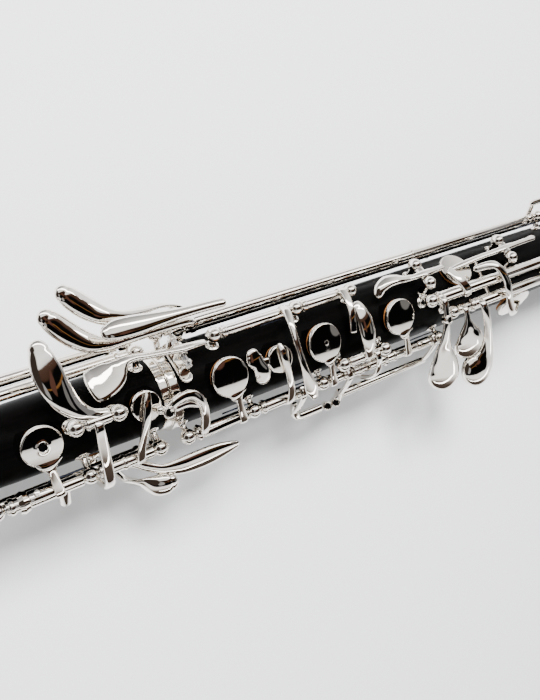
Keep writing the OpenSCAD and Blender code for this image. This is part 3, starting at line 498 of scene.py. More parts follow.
class Posts(Shape):
    """The turned posts of one node: ball, tapered neck, and a foot that sits in its seat in the wood."""
    BALL, FOOT, NO_WOOD = 2.42, 2.1, 7.0  # radii, and the depth of a seat with no wood under it
    CHEEK = 4.4  # from the middle of a cross rod to the post or cheek at each end

    def __init__(self, node):
        super().__init__()
        self.node = node
        self.body = body_of_node[node]
        self.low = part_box(node)[0] / MM

    def done(self):
        return self.build(self.node + "_work", "silver_plate", self.body, self.node)

    def post(self, p, toward, along):
        toward, along = toward.normalized(), along.normalized()
        side = toward.cross(along).normalized()
        hits = [WOOD.ray_cast(p + d * self.FOOT * 0.8, -toward)[3] for d in (along, -along, side, -side)]
        seat = -min([h for h in hits if h] or [self.NO_WOOD])
        self.lathe(p, toward, [(seat - 0.4, self.FOOT - 0.1), (seat + 0.4, self.FOOT),
                               (seat + 0.55, self.FOOT - 0.14), (seat + 0.62, 1.6), (seat + 0.85, 1.3),
                               (seat + 1.2, 1.12), (seat + 1.7, 1.02), (max(seat + 1.8, -2.6), 0.98),
                               (-2.1, 1.1), (-1.8, 1.35), (-1.3, 1.8)], 28)
        self.ball(p, self.BALL, 36)
        self.lathe(p, along, [(-2.5, 0.0), (-2.54, 0.7), (-2.42, 0.9), (-1.8, 1.0), (1.8, 1.0), (2.42, 0.9),
                              (2.54, 0.7), (2.5, 0.0)], 28)

    def row(self, key, *places):
        """Posts along one key's rod, at places from the low-X end of this node's box."""
        pos = Vector(joint_of[body_of_node[key]]["pos_m"]) / MM
        for x in places:
            self.post(Vector((self.low.x + x, pos.y, pos.z)), Vector((0, pos.y, pos.z)), X)

    def pair(self, key, bracket=False):
        """The two posts of a lever that crosses the body, or two cheeks that stand on one foot plate."""
        joint = joint_of[body_of_node[key]]
        pos, axis = Vector(joint["pos_m"]) / MM, Vector(joint["axis"])
        up = Vector((0, pos.y, pos.z)).normalized()
        up = (up - axis * up.dot(axis)).normalized()
        for side in (-1, 1):
            p = pos + axis * side * self.CHEEK
            if not bracket:
                self.post(p, up, axis)
                continue
            self.loft([(p - up * 6.5, 1.9, 0.6), (p - up * 2, 1.8, 0.6), (p, 1.6, 0.6)], power=5,
                      round_ends=(0, 0.8))
            self.lathe(p, axis * side, [(0.3, 1.2), (0.75, 1.2), (0.95, 1.0), (0.95, 0.0)], 28)
        if bracket:
            self.loft([(pos - up * 5.6 + axis * t, 2.0, 0.6) for t in (-5.6, 0, 5.6)], power=6)


# ---------------------------------------------------------------- upper joint keys
k = Key("half_hole_key", "half_hole_pad", opens=True)
k.tube(0, 19, bands=[(1.7, 0.5, 2.1, False)])
k.cup(hole=0.6, lip=0.4)
k.neck(9.5)
k.done()

k = Key("a_key", "a_pad", opens=True)
k.tube(0, 24, bands=[(4.5, 0.6, 2.1, False)])
k.cup(hole=1.15, lip=0.42)
k.neck(15.5)
k.done()

k = Key("g_key", "g_pad", opens=True)
k.tube(0, 21, bands=[(1.5, 0.7, 2.2, False), (4.5, 1.3, 3.0, True)])
k.tube(6.1, 12.7, 2.3)
k.cup(hole=1.15, lip=0.42)
k.neck(14.1, 1.45)
k.stud(k.at(15.7, -0.4, -0.4), (0, -0.86, -0.5), 1.75, 6.0, 1.2)
k.stud(k.at(8.1, 1.1, 1.4), (0, 0.55, 0.84), 0.7, 2.6)
k.done()

k = Key("c_vent_key", "c_vent_pad", opens=True)
k.tube(0, 16.5, bands=[(7.5, 0.6, 2.1, False)])
k.cup(dome=0.3)
k.touch([(k.at(12.1, -0.6, -1.8), 1.35, 0.5, (0, -1, 0)), (k.at(12.1, -1.7, 0.1), 1.35, 0.6, (0, -1, 0.2)),
         (k.at(12, -0.4, 2.2), 1.3, 0.65, (0, -0.6, 0.8)), (k.at(12.3, 3.4, 4.2), 1.15, 0.65, (0, -0.4, 1)),
         (k.at(13.7, 7.8, 5.7), 1.2, 0.65, (0.2, -0.2, 1)), (k.at(15.3, 12.4, 6.5), 1.3, 0.6),
         (k.at(16.5, 16, 6.5), 1.15, 0.5), (k.at(17.3, 18.4, 6.1), 0.8, 0.35)],
        power=2.8, belly=1.0, round_ends=(1, 1))
k.done()

k = Key("g_sharp_key", "g_sharp_pad")
k.tube(11.3, 18.7, bands=[(12.1, 0.5, 2.0, False)])
k.cup()
k.loft([(k.at(14.7, 1.2, -0.6), 1.2, 0.7), (k.at(14.6, -1.2, 1.6), 1.3, 0.7),
        (k.at(14.5, -6.2, 0.9), 1.45, 0.75), (k.at(14.7, -13.2, -1), 1.45, 0.8),
        (k.at(15, -18.6, -3.8), 1.5, 0.9), (k.at(15.1, -20.9, -7.8), 1.75, 1.05),
        (k.at(14.9, -21.1, -13.6), 1.3, 0.8), (k.at(15.3, -19.4, -18.4), 1.2, 0.6),
        (k.at(16.1, -16.8, -20.4), 1.3, 0.5)], power=2.6, belly=1.0)
k.touch([(k.at(18.5, 1, -0.4), 1.3, 1.0, (0, 0.3, 1)), (k.at(14.5, 2, 0.2), 1.7, 1.2, (0, 0.4, 1)),
         (k.at(10.9, 4.4, 1.4), 2.8, 1.5, (0.1, 0.5, 1)), (k.at(8, 8.2, 2.3), 3.6, 1.6, (0.05, 0.5, 1)),
         (k.at(6.2, 12.6, 2.4), 4.0, 1.6, (0, 0.5, 1)), (k.at(5.4, 17, 1.9), 3.95, 1.5, (-0.05, 0.4, 1)),
         (k.at(5.1, 20.7, 1.2), 3.3, 1.4, (-0.1, 0.35, 1)),
         (k.at(5.1, 22.7, 0.8), 2.6, 1.2, (-0.1, 0.3, 1))], belly=0.75)
k.done()

k = Key("trill_key_1", "trill_pad_1")
k.tube(0.8, 115.3, bands=[(2, 0.6, 2.1, False), (111.8, 0.7, 2.1, False)])
k.cup()
k.wrap(-1)
k.touch([(k.at(106.2, -0.7, -0.7), 1.2, 0.8, (0, -0.5, 1)),
         (k.at(109.4, -2.4, -0.3), 1.5, 0.9, (0, -0.4, 1)),
         (k.at(113.4, -5.2, 0.5), 1.5, 0.9, (0, -0.3, 1)),
         (k.at(117.8, -7.6, 1.1), 1.7, 0.85, (0, -0.3, 1)),
         (k.at(123.4, -8.6, 1.6), 2.8, 1.3, (0, -0.2, 1)), (k.at(129.4, -8.8, 1.9), 3.2, 1.4, (0, -0.2, 1)),
         (k.at(135.2, -8.8, 2), 2.95, 1.3, (0, -0.2, 1)), (k.at(140, -8.9, 1.9), 2.1, 1.0, (0, -0.2, 1)),
         (k.at(142.8, -9, 1.8), 1.3, 0.7, (0, -0.2, 1))])
k.done()

k = Key("trill_key_2", "trill_pad_2")
k.tube(0.8, 124.8, bands=[(2, 0.6, 2.1, False), (121.6, 0.7, 2.1, False)])
k.cup()
k.wrap(-1)
k.touch([(k.at(121.8, -0.6, 0.4), 1.3, 0.8, (0, -0.7, -0.7)),
         (k.at(121.8, -5.8, 1.4), 1.3, 0.8, (0, -0.4, -1)),
         (k.at(121.8, -10.6, 5.2), 1.3, 0.8, (0, -1, -0.7)), (k.at(122.8, -13.8, 11), 1.3, 0.8, (0, -1, 0)),
         (k.at(125, -14.8, 15), 1.7, 0.9, (0, -1, 0.7)), (k.at(127.4, -16, 17), 2.5, 1.3, (0, -0.5, 1)),
         (k.at(130, -17.2, 18.2), 3.4, 2.0, (0, -0.2, 1)),
         (k.at(132.6, -17.6, 18.8), 3.4, 2.3, (0, -0.1, 1)),
         (k.at(134, -17.7, 18.9), 2.7, 2.0, (0, -0.1, 1))], belly=1.0, round_ends=(0, 0.85))
k.done()

k = Key("octave_key_1", "octave_pad_1")
k.tube(0.2, 139.6, bands=[(1.4, 0.6, 2.1, False), (57.6, 1.3, 2.05, False), (136.6, 0.6, 2.1, False)])
k.cup()
k.wrap(1, dive=2.8)
k.loft([(k.at(57.6, 0, 1.4), 1.3, 0.6), (k.at(57.6, 1.4, -1.6), 1.3, 0.7),
        (k.at(57.6, 0.8, -7.2), 1.2, 0.7), (k.at(57.6, -2.2, -13.4), 1.2, 0.7),
        (k.at(58, -7.2, -18), 1.4, 0.7), (k.at(58.6, -12, -21), 2.0, 0.7)], belly=1.0)
k.touch([(k.at(51, -14.4, -22), 1.6, 0.7), (k.at(53, -14.6, -22), 3.2, 0.85),
         (k.at(57, -15.4, -22), 3.8, 0.9), (k.at(62.6, -16.6, -22), 3.9, 0.9),
         (k.at(67.2, -17.7, -22), 3.2, 0.85), (k.at(70, -18.3, -22), 1.6, 0.6)], up=(0, 0, -1),
        round_ends=(1, 1))
k.done()

k = Key("octave_key_2", "octave_pad_2")
k.tube(1.2, 170.8, bands=[(2.4, 0.6, 2.1, False), (116.6, 1.2, 2.05, False), (167.6, 0.6, 2.1, False)])
k.cup()
k.wrap(1)
k.touch([(k.at(117, -0.4, 1.2), 1.2, 0.7), (k.at(118.6, 2.4, 3), 1.5, 0.8),
         (k.at(118.2, 5.4, 4.4), 2.1, 0.85), (k.at(114, 6.8, 5), 2.7, 0.85),
         (k.at(108.4, 7.7, 5.1), 3.0, 0.85), (k.at(104.2, 8.2, 5.1), 2.4, 0.8),
         (k.at(102.4, 8.4, 5.1), 1.2, 0.6)], up=(0, 0.2, 1))
k.done()

# ---------------------------------------------------------------- plates of the lower joint
k = Key("f_sharp_key", "f_sharp_pad", opens=True)
k.tube(12.9, 31.7, bands=[(14.1, 0.75, 2.4, True), (17, 0.5, 2.1, False)])
k.cup(dome=0.55)
k.neck(29.3, 1.3)
k.touch([(k.at(4.1, 12, 7), 1.25, 0.95), (k.at(6.5, 13.7, 7.4), 1.4, 1.0),
         (k.at(9.5, 14.4, 7.5), 1.45, 1.0), (k.at(12.3, 13.7, 7.3), 1.45, 1.0, (0.2, 0, 1)),
         (k.at(14.3, 11.2, 6.9), 1.45, 1.0, (0.3, 0, 1)), (k.at(15, 7.4, 6.1), 1.4, 1.0, (0.2, 0, 1)),
         (k.at(15.1, 3.6, 4.4), 1.4, 0.95, (0, -0.2, 1)), (k.at(15.2, 0.6, 2.2), 1.4, 0.85, (0, -0.6, 1)),
         (k.at(15.3, -1.2, -0.2), 1.4, 0.7, (0, -1, 0.3))], power=3.0, belly=1.0, round_ends=(0, 0.6))
k.touch([(k.at(14.3, -0.6, 1.5), 0.9, 0.6), (k.at(17.7, -0.4, 1.9), 1.15, 0.55),
         (k.at(22.7, -0.2, 1.9), 1.15, 0.5), (k.at(30.3, -0.1, 1.7), 1.1, 0.4)], power=3.0, belly=1.0)
k.loft([(k.at(7.3, 11.2, 5.6), 1.0, 0.5, (0, 1, 0)), (k.at(10.7, 11.2, 5.6), 1.0, 0.5, (0, 1, 0)),
        (k.at(14.3, 9.8, 5.8), 1.0, 0.5, (0, 1, 0))], belly=1.0)
k.stud(k.at(3.6, 11.5, 4.9), (0, 0, 1), 1.85, 3.5, 1.2)
k.ball(k.at(1.5, 12.7, 6.6), 1.25)
k.done()

k = Key("g_vent_key", "g_vent_pad", opens=True)
k.tube(2.1, 15.3, bands=[(3.3, 0.6, 2.1, False)])
k.cup(dome=0.3)
k.touch([(k.at(12.5, -0.6, -1.8), 1.4, 0.5, (0, -1, 0)), (k.at(12.5, -1.7, 0.1), 1.4, 0.6, (0, -1, 0.2)),
         (k.at(12.4, -0.4, 2.4), 1.35, 0.65, (0, -0.6, 0.8)), (k.at(12, 4.2, 5.1), 1.2, 0.65, (0, -0.4, 1)),
         (k.at(11.2, 9.4, 6.6), 1.15, 0.6), (k.at(10.5, 14.4, 7.4), 1.15, 0.6),
         (k.at(10.1, 17.2, 7.3), 1.05, 0.5), (k.at(9.9, 19, 6.8), 0.7, 0.35)], power=2.8, belly=1.0,
        round_ends=(1, 1))
k.touch([(k.at(0.6, 18.6, 5.4), 2.3, 0.75), (k.at(0.9, 17, 5.6), 2.9, 0.8),
         (k.at(1.9, 14.9, 5.7), 2.5, 0.8), (k.at(2.7, 12.4, 5.6), 2.9, 0.8),
         (k.at(2.6, 10.6, 5.4), 2.5, 0.75)], up=(0, 0.25, 1), round_ends=(0.8, 0.8))
k.loft([(k.at(2.3, 15, 5.4), 1.5, 0.45, (0, 1, 0)), (k.at(5.9, 14.8, 5.5), 1.4, 0.45, (0, 1, 0))],
       belly=1.0)
k.done()

k = Key("e_key", "e_pad", opens=True)
k.tube(8.7, 14.2)
k.cup(hole=0.55, lip=0.36)
k.neck(10, 1.25)
k.done()

k = Key("d_key", "d_pad", opens=True)
k.tube(0, 30.2, bands=[(2.5, 0.6, 2.1, False), (14.6, 0.75, 2.4, True), (19, 0.5, 2.1, False)])
k.cup(dome=0.45)
k.neck(25.4, 1.35)
k.done()

k = Key("bridge_key")
k.tube(0, 9.3, 1.9)
k.tube(20.1, 24.2, 1.9)
k.tube(55.2, 64.2, 1.9)
for x in (2.2, 22.1, 63):
    k.loft([(k.at(x, 1.2, 1.6), 1.15, 0.6), (k.at(x, -0.9, 2.0), 1.2, 0.65),
            (k.at(x, -2.6, 0.6), 1.15, 0.7), (k.at(x, -5.6, -2.6), 1.1, 0.7),
            (k.at(x, -8.6, -6.6), 1.2, 0.8)], power=3.0, belly=1.0)
k.lathe(k.at(21, -8.4, -6.6), (1, 0, 0), [(0, 0.6), (0.15, 1.3), (0.4, 1.45), (42.5, 1.45), (42.8, 1.3),
        (43, 0.6)])
k.loft([(k.at(2.2, -5.4, -5), 1.3, 1.2, (0, 0, 1)), (k.at(2.3, -8.2, -6.2), 1.4, 1.3, (0, 0, 1)),
        (k.at(3.4, -9.9, -6.8), 1.5, 1.35, (0, 0, 1)), (k.at(6.1, -10.3, -6.9), 1.5, 1.35, (0, 0, 1)),
        (k.at(13.2, -10.3, -6.9), 1.5, 1.35, (0, 0, 1))], power=3.4, belly=1.0, round_ends=(1, 0))
for x in (14.6, 18.3):
    k.stud(k.at(x + 2.1, -10.9, -8.1), (-0.4, 0.18, 0.9), 1.6, 3.4, 1.05)
k.loft([(k.at(19.7, -10.2, -6.9), 1.45, 1.2, (0, 0, 1)), (k.at(21.4, -9.6, -6.8), 1.45, 1.25, (0, 0, 1)),
        (k.at(22.1, -7.4, -6), 1.3, 1.2, (0, 0, 1))], power=3.4, belly=1.0, round_ends=(0, 1))
k.done()

k = Key("f_key", "f_pad")
k.tube(0, 13.6, bands=[(1.2, 0.5, 2.0, False), (5.4, 0.5, 2.0, False)])
k.cup()
k.loft([(k.at(11.3, 1, -0.9), 1.1, 0.6), (k.at(11.3, 0.1, 1.7), 1.2, 0.65),
        (k.at(11.3, -3.2, 1.8), 1.1, 0.7), (k.at(11.3, -7.2, -0.5), 1.1, 0.75),
        (k.at(11.3, -9.3, -4.9), 1.1, 0.8), (k.at(11.3, -9.6, -10.9), 1.1, 0.75),
        (k.at(11.4, -8.4, -16.1), 1.2, 0.6), (k.at(11.5, -6.6, -18.7), 1.5, 0.5)], power=2.6, belly=1.0)
k.touch([(k.at(8.4, -1.4, -0.1), 1.4, 0.8, (0, -0.6, 1)), (k.at(8, 0.4, 1.7), 1.7, 0.9, (0, -0.4, 1)),
         (k.at(7.6, 3.4, 2.7), 2.3, 1.15), (k.at(7.7, 7.6, 3), 3.1, 1.4), (k.at(7.7, 12.2, 2.5), 3.2, 1.45),
         (k.at(7.2, 15.6, 1.7), 2.7, 1.3), (k.at(6.9, 17, 1.2), 2.3, 1.15)])
k.done()

# ---------------------------------------------------------------- side levers
k = Key("trill_lever")
k.tube(0, 25.6, bands=[(1.2, 0.5, 2.05, False), (23.4, 1.2, 2.0, False)])
k.touch([(k.at(23.4, 0.3, -1.4), 1.4, 0.6, (0, 1, 0)), (k.at(23.2, 1.7, 0.4), 1.45, 0.7, (0, 1, 0.3)),
         (k.at(22.7, 0.3, 3.1), 1.4, 0.75, (0, 0.6, 0.8)), (k.at(21.8, -3.3, 5.6), 1.25, 0.75, (0, 0.4, 1)),
         (k.at(21.2, -7.9, 7.2), 1.05, 0.75, (0, 0.2, 1)), (k.at(21.3, -12.9, 8), 1.0, 0.8),
         (k.at(21.9, -17.9, 7.9), 1.3, 0.85), (k.at(22.8, -21.9, 7.4), 1.95, 0.85, (0, -0.2, 1)),
         (k.at(23.8, -25.3, 6.8), 2.4, 0.8, (0, -0.2, 1)),
         (k.at(24.4, -27.5, 6.4), 1.5, 0.6, (0, -0.2, 1))])
k.done()

k = Key("finger_lever")
k.tube(0, 18.1, bands=[(1.2, 0.5, 2.05, False), (16, 1.2, 2.0, False)])
k.touch([(k.at(16, 1.3, -0.6), 1.25, 0.5, (0, 1, 0)), (k.at(16, 1.6, 1.4), 1.3, 0.6, (0, 0.8, 0.6)),
         (k.at(15.8, -0.7, 3.8), 1.3, 0.6, (0, 0.5, 1)), (k.at(15.2, -4.7, 5.7), 1.25, 0.6, (0, 0.2, 1)),
         (k.at(14.6, -8.5, 6.4), 1.3, 0.6), (k.at(14.2, -12.1, 6.2), 1.3, 0.6)], power=4.0, belly=1.0,
        round_ends=(1, 0.5))
k.done()

k = Key("left_e_flat_lever")
k.tube(20.7, 27.5, bands=[(23.5, 1.2, 2.05, False)])
k.loft([(k.at(23.5, -0.6, -1.6), 1.2, 0.6), (k.at(23.5, 1.6, -0.4), 1.25, 0.7),
        (k.at(23.5, 4.6, 2.2), 1.15, 0.75), (k.at(23.5, 5.8, 5.8), 1.15, 0.75),
        (k.at(23.5, 5.7, 9.4), 1.3, 0.7)], power=3.0, belly=1.0)
k.touch([(k.at(1.4, 5.7, 10.2), 2.3, 1.0), (k.at(2.9, 5.8, 10.3), 2.9, 1.2),
         (k.at(5.7, 5.8, 10.4), 3.15, 1.3), (k.at(10.1, 5.6, 10.4), 2.95, 1.25),
         (k.at(16.1, 5.4, 10.3), 2.3, 1.15), (k.at(22.1, 5.2, 10.1), 1.75, 1.05),
         (k.at(29.1, 5, 9.8), 1.5, 0.95), (k.at(34.5, 4.8, 9.5), 1.45, 0.9),
         (k.at(37.7, 4.6, 9.3), 1.4, 0.8)], up=(0, 0.35, 1), round_ends=(0.9, 0.9))
k.done()

k = Key("left_f_lever")
k.barrel()
k.touch([(k.at(38, 0.37, 0.04), 1.0, 0.5), (k.at(34.2, 0.67, 1.04), 1.15, 0.75),
         (k.at(30.1, 0.87, 1.54), 1.35, 0.85), (k.at(25.2, 1.37, 2.04), 1.05, 0.85),
         (k.at(19.4, 2.07, 2.64), 1.05, 0.95), (k.at(15, 2.77, 3.14), 1.15, 1.1),
         (k.at(12.2, 2.77, 3.54), 1.5, 1.2, (0, 0.5, 0.8)),
         (k.at(10.2, 1.87, 3.74), 2.7, 1.2, (0, 0.5, 0.85)),
         (k.at(8.4, 0.77, 3.84), 4.0, 1.15, (0, 0.5, 0.85)),
         (k.at(6, -0.13, 3.84), 4.7, 1.05, (0, 0.5, 0.85)),
         (k.at(3.4, -0.83, 3.74), 4.9, 0.9, (0, 0.5, 0.85)),
         (k.at(1.8, -1.13, 3.54), 4.6, 0.7, (0, 0.5, 0.85))], up=(0, 0.72, 0.69), power=2.5, round_ends=(1,
         0.3))
k.done()

k = Key("low_b_lever")
k.tube(42.7, 209.2, bands=[(44.7, 1.2, 2.05, False), (138.3, 0.5, 2.0, False),
                                  (205.9, 1.2, 2.05, False), (208.3, 0.4, 2.0, False)])
k.touch([(k.at(44.7, 0.8, -0.4), 1.2, 0.7, (0, 1, 0)), (k.at(44.6, 0.8, 2.4), 1.2, 0.75, (0, 1, 0)),
         (k.at(43.7, 1.2, 4.8), 1.2, 0.75, (0.6, 0.3, 0.6)), (k.at(40.3, 1.6, 5.8), 1.2, 0.75),
         (k.at(32.3, 1.7, 5.9), 1.25, 0.8), (k.at(23.3, 1.7, 5.9), 1.4, 0.95),
         (k.at(16.9, 1.8, 5.8), 1.9, 1.15), (k.at(12.5, 3.4, 5.6), 2.9, 1.5, (0, 0.3, 1)),
         (k.at(8.5, 6.4, 5.5), 3.4, 1.7, (0, 0.35, 1)), (k.at(5.3, 9.8, 5.6), 3.5, 1.7, (0, 0.35, 1)),
         (k.at(3.1, 12.4, 5.8), 3.1, 1.6, (0, 0.3, 1)), (k.at(2.2, 13.5, 5.9), 2.6, 1.4, (0, 0.3, 1))],
        round_ends=(0, 0.95))
k.loft([(k.at(205.9, -0.6, -1.2), 1.2, 0.6), (k.at(205.9, 2.2, 0.8), 1.2, 0.7),
        (k.at(205.9, 5.4, 3), 1.2, 0.7)], power=3, belly=1.0)
k.loft([(k.at(204.9, 6.2, 3.8), 1.1, 0.75, (0, 1, 0)), (k.at(210.3, 6.4, 3.8), 1.1, 0.75, (0, 1, 0)),
        (k.at(222.3, 6.4, 3.8), 1.1, 0.75, (0, 1, 0)), (k.at(229.5, 6.4, 3.8), 1.1, 0.75, (0, 1, 0))],
       power=3, belly=1.0)
k.stud(k.at(218.3, 6.4, 2.6), (0, 0, 1), 1.55, 4.3, 0.9)
k.done()

k = Key("low_b_flat_lever")
k.tube(39.7, 258.3, bands=[(42.7, 1.2, 2.05, False), (146.7, 0.5, 2.0, False), (255.7, 1.2, 2.05, False)])
k.touch([(k.at(42.7, -0.6, -1.4), 1.2, 0.7, (0, 0, -1)), (k.at(42.3, 3.4, -0.7), 1.2, 0.75, (0, 0.2, -1)),
         (k.at(39.3, 7, 1.4), 1.2, 0.75, (0, 1, -1)), (k.at(33.1, 9.4, 4.4), 1.25, 0.8, (0, 1, 0)),
         (k.at(25.1, 10.3, 8), 1.3, 0.85, (0, 0.6, 0.6)), (k.at(18.1, 10.8, 11), 1.6, 0.95, (0, 0.2, 1)),
         (k.at(13.1, 12, 12.1), 2.6, 1.4, (0, 0.25, 1)), (k.at(9.1, 14.8, 12), 3.3, 1.6, (0, 0.35, 1)),
         (k.at(5.9, 17.8, 12.1), 3.4, 1.7, (0, 0.35, 1)), (k.at(3.7, 20.2, 12.3), 3.0, 1.6, (0, 0.3, 1)),
         (k.at(2.8, 21.2, 12.4), 2.5, 1.4, (0, 0.3, 1))], round_ends=(0, 0.95))
k.loft([(k.at(255.7, 0.2, -1.4), 1.1, 0.6), (k.at(255.7, 3.4, 0.6), 1.15, 0.7),
        (k.at(255.7, 6.4, 4.6), 1.1, 0.7), (k.at(255.7, 7.2, 9.4), 1.1, 0.7)], power=3, belly=1.0)
k.loft([(k.at(254.7, 7.2, 9.9), 1.0, 0.75, (0, 1, 0)), (k.at(260.7, 7.2, 9.9), 1.0, 0.75, (0, 1, 0)),
        (k.at(268.9, 7.2, 9.9), 1.0, 0.75, (0, 1, 0))], power=3, belly=1.0)
k.done()

k = Key("resonance_lever")
k.barrel()
k.touch([(k.at(33.1, 0.32, 0.87), 1.0, 0.55), (k.at(28.7, 0.22, 0.97), 1.15, 0.7),
         (k.at(23.2, 0.22, 1.17), 1.5, 0.85), (k.at(18.3, 0.12, 0.97), 1.15, 0.8),
         (k.at(13.9, 0.43, 0.77), 1.5, 1.0), (k.at(9.9, 1.22, 0.77), 2.1, 1.15),
         (k.at(6.1, 1.32, 0.47), 2.4, 1.2), (k.at(3.1, 0.03, 0.27), 2.1, 1.15),
         (k.at(1.7, -1.78, 0.17), 1.6, 1.0)], up=(0, 0.67, 0.74))
k.done()

k = Key("e_flat_cup_key", "e_flat_pad")
k.cup(dome=0.5)
k.barrel()
k.touch([(k.at(3.39, -1.2, -1.31), 0.7, 0.4), (k.at(6.49, -0.8, -0.71), 1.15, 0.6),
         (k.at(11.49, -0.3, -0.11), 1.15, 0.7), (k.at(17.99, 0.1, 0.29), 1.1, 0.75),
         (k.at(24.99, 0.3, 0.59), 1.15, 0.75), (k.at(31.59, 0.6, 0.79), 1.4, 0.8),
         (k.at(37.99, 0.6, 0.69), 1.1, 0.75), (k.at(43.99, 0.7, 0.49), 1.15, 0.75),
         (k.at(48.79, 0.8, 0.19), 1.3, 0.6)], up=(0, 0.63, 0.78), belly=1.0, round_ends=(1, 1))
k.done()

# ---------------------------------------------------------------- little-finger keys of the right hand
k = Key("c_key", "c_pad", opens=True)
k.tube(4.5, 86.5, 2.1, bands=[(5.5, 0.7, 2.45, False), (85.3, 0.6, 2.45, False)])
k.cup(dome=0.5)
k.touch([(k.at(5.9, 1.2, 1), 1.3, 0.6, (0, 0.6, 1)), (k.at(5.8, -1, 2.8), 1.4, 0.8, (0, 0, 1)),
         (k.at(5.4, -5.2, 3), 1.3, 0.9), (k.at(5, -10.2, 2.4), 1.5, 1.1),
         (k.at(4.7, -14.8, 1), 2.2, 1.5, (0, -0.3, 1)), (k.at(4.8, -18.6, -0.6), 3.6, 1.9, (-0.1, -0.3, 1)),
         (k.at(5.3, -22.8, -1.9), 5.5, 2.4, (-0.15, -0.25, 1)),
         (k.at(5.7, -26.6, -3), 6.7, 2.8, (-0.15, -0.2, 1)),
         (k.at(5.7, -28.8, -3.5), 6.9, 2.9, (-0.15, -0.2, 1))], belly=0.4, round_ends=(0, 0.88))
k.stud(k.at(5.1, -7.6, 1.8), (0, 0, 1), 1.5, 2.9, 0.95)
k.loft([(k.at(18.5, -2, 1.8), 1.7, 0.5), (k.at(18.1, 0.4, 2.4), 1.75, 0.65),
        (k.at(16.1, 4.4, 1.3), 1.75, 0.65), (k.at(13.3, 8.4, -0.7), 1.85, 0.6)], power=5, belly=1.0,
       round_ends=(0.3, 0.15))
k.touch([(k.at(28.3, 5.4, -1), 1.3, 0.7, (-0.3, 0.3, 1)), (k.at(31.5, 5.8, 0.8), 1.5, 0.8, (-0.3, 0.4, 1)),
         (k.at(34.7, 5.2, 2.2), 1.7, 0.8, (0, 0.5, 1)), (k.at(36.9, 2.2, 3.1), 1.8, 0.8, (0.1, 0.2, 1)),
         (k.at(38.3, -1.8, 3.5), 1.8, 0.8), (k.at(39.1, -6.6, 3.1), 1.75, 0.8),
         (k.at(41.1, -11.6, 1.3), 1.6, 0.8, (0, -0.5, 1)),
         (k.at(44.5, -15.4, -1.2), 1.4, 0.8, (0, -0.8, 0.8)),
         (k.at(48.5, -17.2, -3.8), 1.5, 0.7, (0, -1, 0.7)),
         (k.at(52.3, -16.4, -5.6), 1.6, 0.6, (0, -0.8, 0.7)),
         (k.at(55.5, -15, -6.8), 1.2, 0.4, (0, -0.75, 0.67))], belly=1.0, round_ends=(1, 1))
k.done()

k = Key("c_sharp_key")
k.tube(1, 7)
k.touch([(k.at(3.2, 1.2, 1), 1.2, 0.5, (0, 0.4, 1)), (k.at(3.2, -0.6, 2.2), 1.25, 0.75),
         (k.at(3.3, -4, 2.1), 1.4, 1.0), (k.at(3.6, -6.2, 1.6), 2.5, 1.5, (-0.1, -0.1, 1)),
         (k.at(4.1, -8.8, 0.7), 4.6, 2.1, (-0.1, 0, 1)),
         (k.at(4.8, -11.6, -0.2), 6.3, 2.6, (-0.15, 0.05, 1)),
         (k.at(5.1, -14, -0.9), 6.7, 2.8, (-0.15, 0.05, 1))], belly=0.4, round_ends=(0, 0.85))
k.done()

k = Key("e_flat_key")
k.tube(2.4, 49.7, 2.1, bands=[(3.4, 0.6, 2.45, False), (48.5, 0.6, 2.45, False)])
k.touch([(k.at(6.8, 1, 1.3), 1.4, 0.5, (0, 0.4, 1)), (k.at(7.1, -0.8, 2.7), 1.6, 0.9),
         (k.at(7.9, -5.4, 2.5), 1.8, 1.1), (k.at(8.8, -10.8, 1.3), 1.9, 1.35, (0, -0.3, 1)),
         (k.at(9.4, -15.4, -0.1), 2.4, 1.7, (0, -0.1, 1)), (k.at(9.2, -19.6, -1.5), 3.9, 2.2, (0, 0, 1)),
         (k.at(7.5, -23.2, -2.6), 5.6, 2.7, (-0.1, 0, 1)),
         (k.at(5.4, -25.3, -3.2), 6.5, 2.9, (-0.15, 0, 1)),
         (k.at(4.1, -26.1, -3.5), 6.6, 2.9, (-0.15, 0, 1))], belly=0.4, round_ends=(0, 0.9))
k.loft([(k.at(15.2, 0.2, -1.3), 0.9, 0.5), (k.at(15.2, 3.6, -2.5), 0.9, 0.5),
        (k.at(15.2, 9.1, -4.3), 0.8, 0.5), (k.at(15.2, 13.6, -5.7), 0.8, 0.45)], belly=1.0)
k.done()

# ---------------------------------------------------------------- low keys
k = Key("low_b_key", "low_b_pad", opens=True)
k.tube(1.1, 13.9, bands=[(2.5, 0.5, 2.05, False)])
k.cup(dome=0.5)
k.wrap(-1, 1.25, 0.65)
k.loft([(k.middle + k.normal * 2.5 + Vector((0, -1, 0.4)), 1.5, 0.6), (k.at(7.5, 14.4, -5.4), 1.2, 0.7),
        (k.at(7.5, 17.4, -10.2), 1.2, 0.7), (k.at(7.5, 20.2, -15.2), 1.2, 0.7)], power=2.8, belly=1.0)
k.done()

k = Key("low_b_flat_key", "low_b_flat_pad", opens=True)
k.tube(22.47, 49.27, bands=[(23.87, 0.5, 2.05, False), (47.87, 0.5, 2.05, False)])
k.cup(dome=0.5)
k.wrap(-1, 1.3, 0.7)
k.loft([(k.middle + k.normal * 2.6, 1.6, 0.6, (0, -0.4, 1)),
        (k.at(30.47, 18.1, -10.1), 1.3, 0.7, (0, -0.4, 1)),
        (k.at(23.87, 20.7, -14.5), 1.2, 0.7, (0, -0.4, 1)),
        (k.at(15.87, 22.3, -16.9), 1.2, 0.7, (0, -0.4, 1)),
        (k.at(1.07, 22.5, -17.2), 1.2, 0.7, (0, -0.4, 1))], power=2.8, belly=1.0)
k.done()

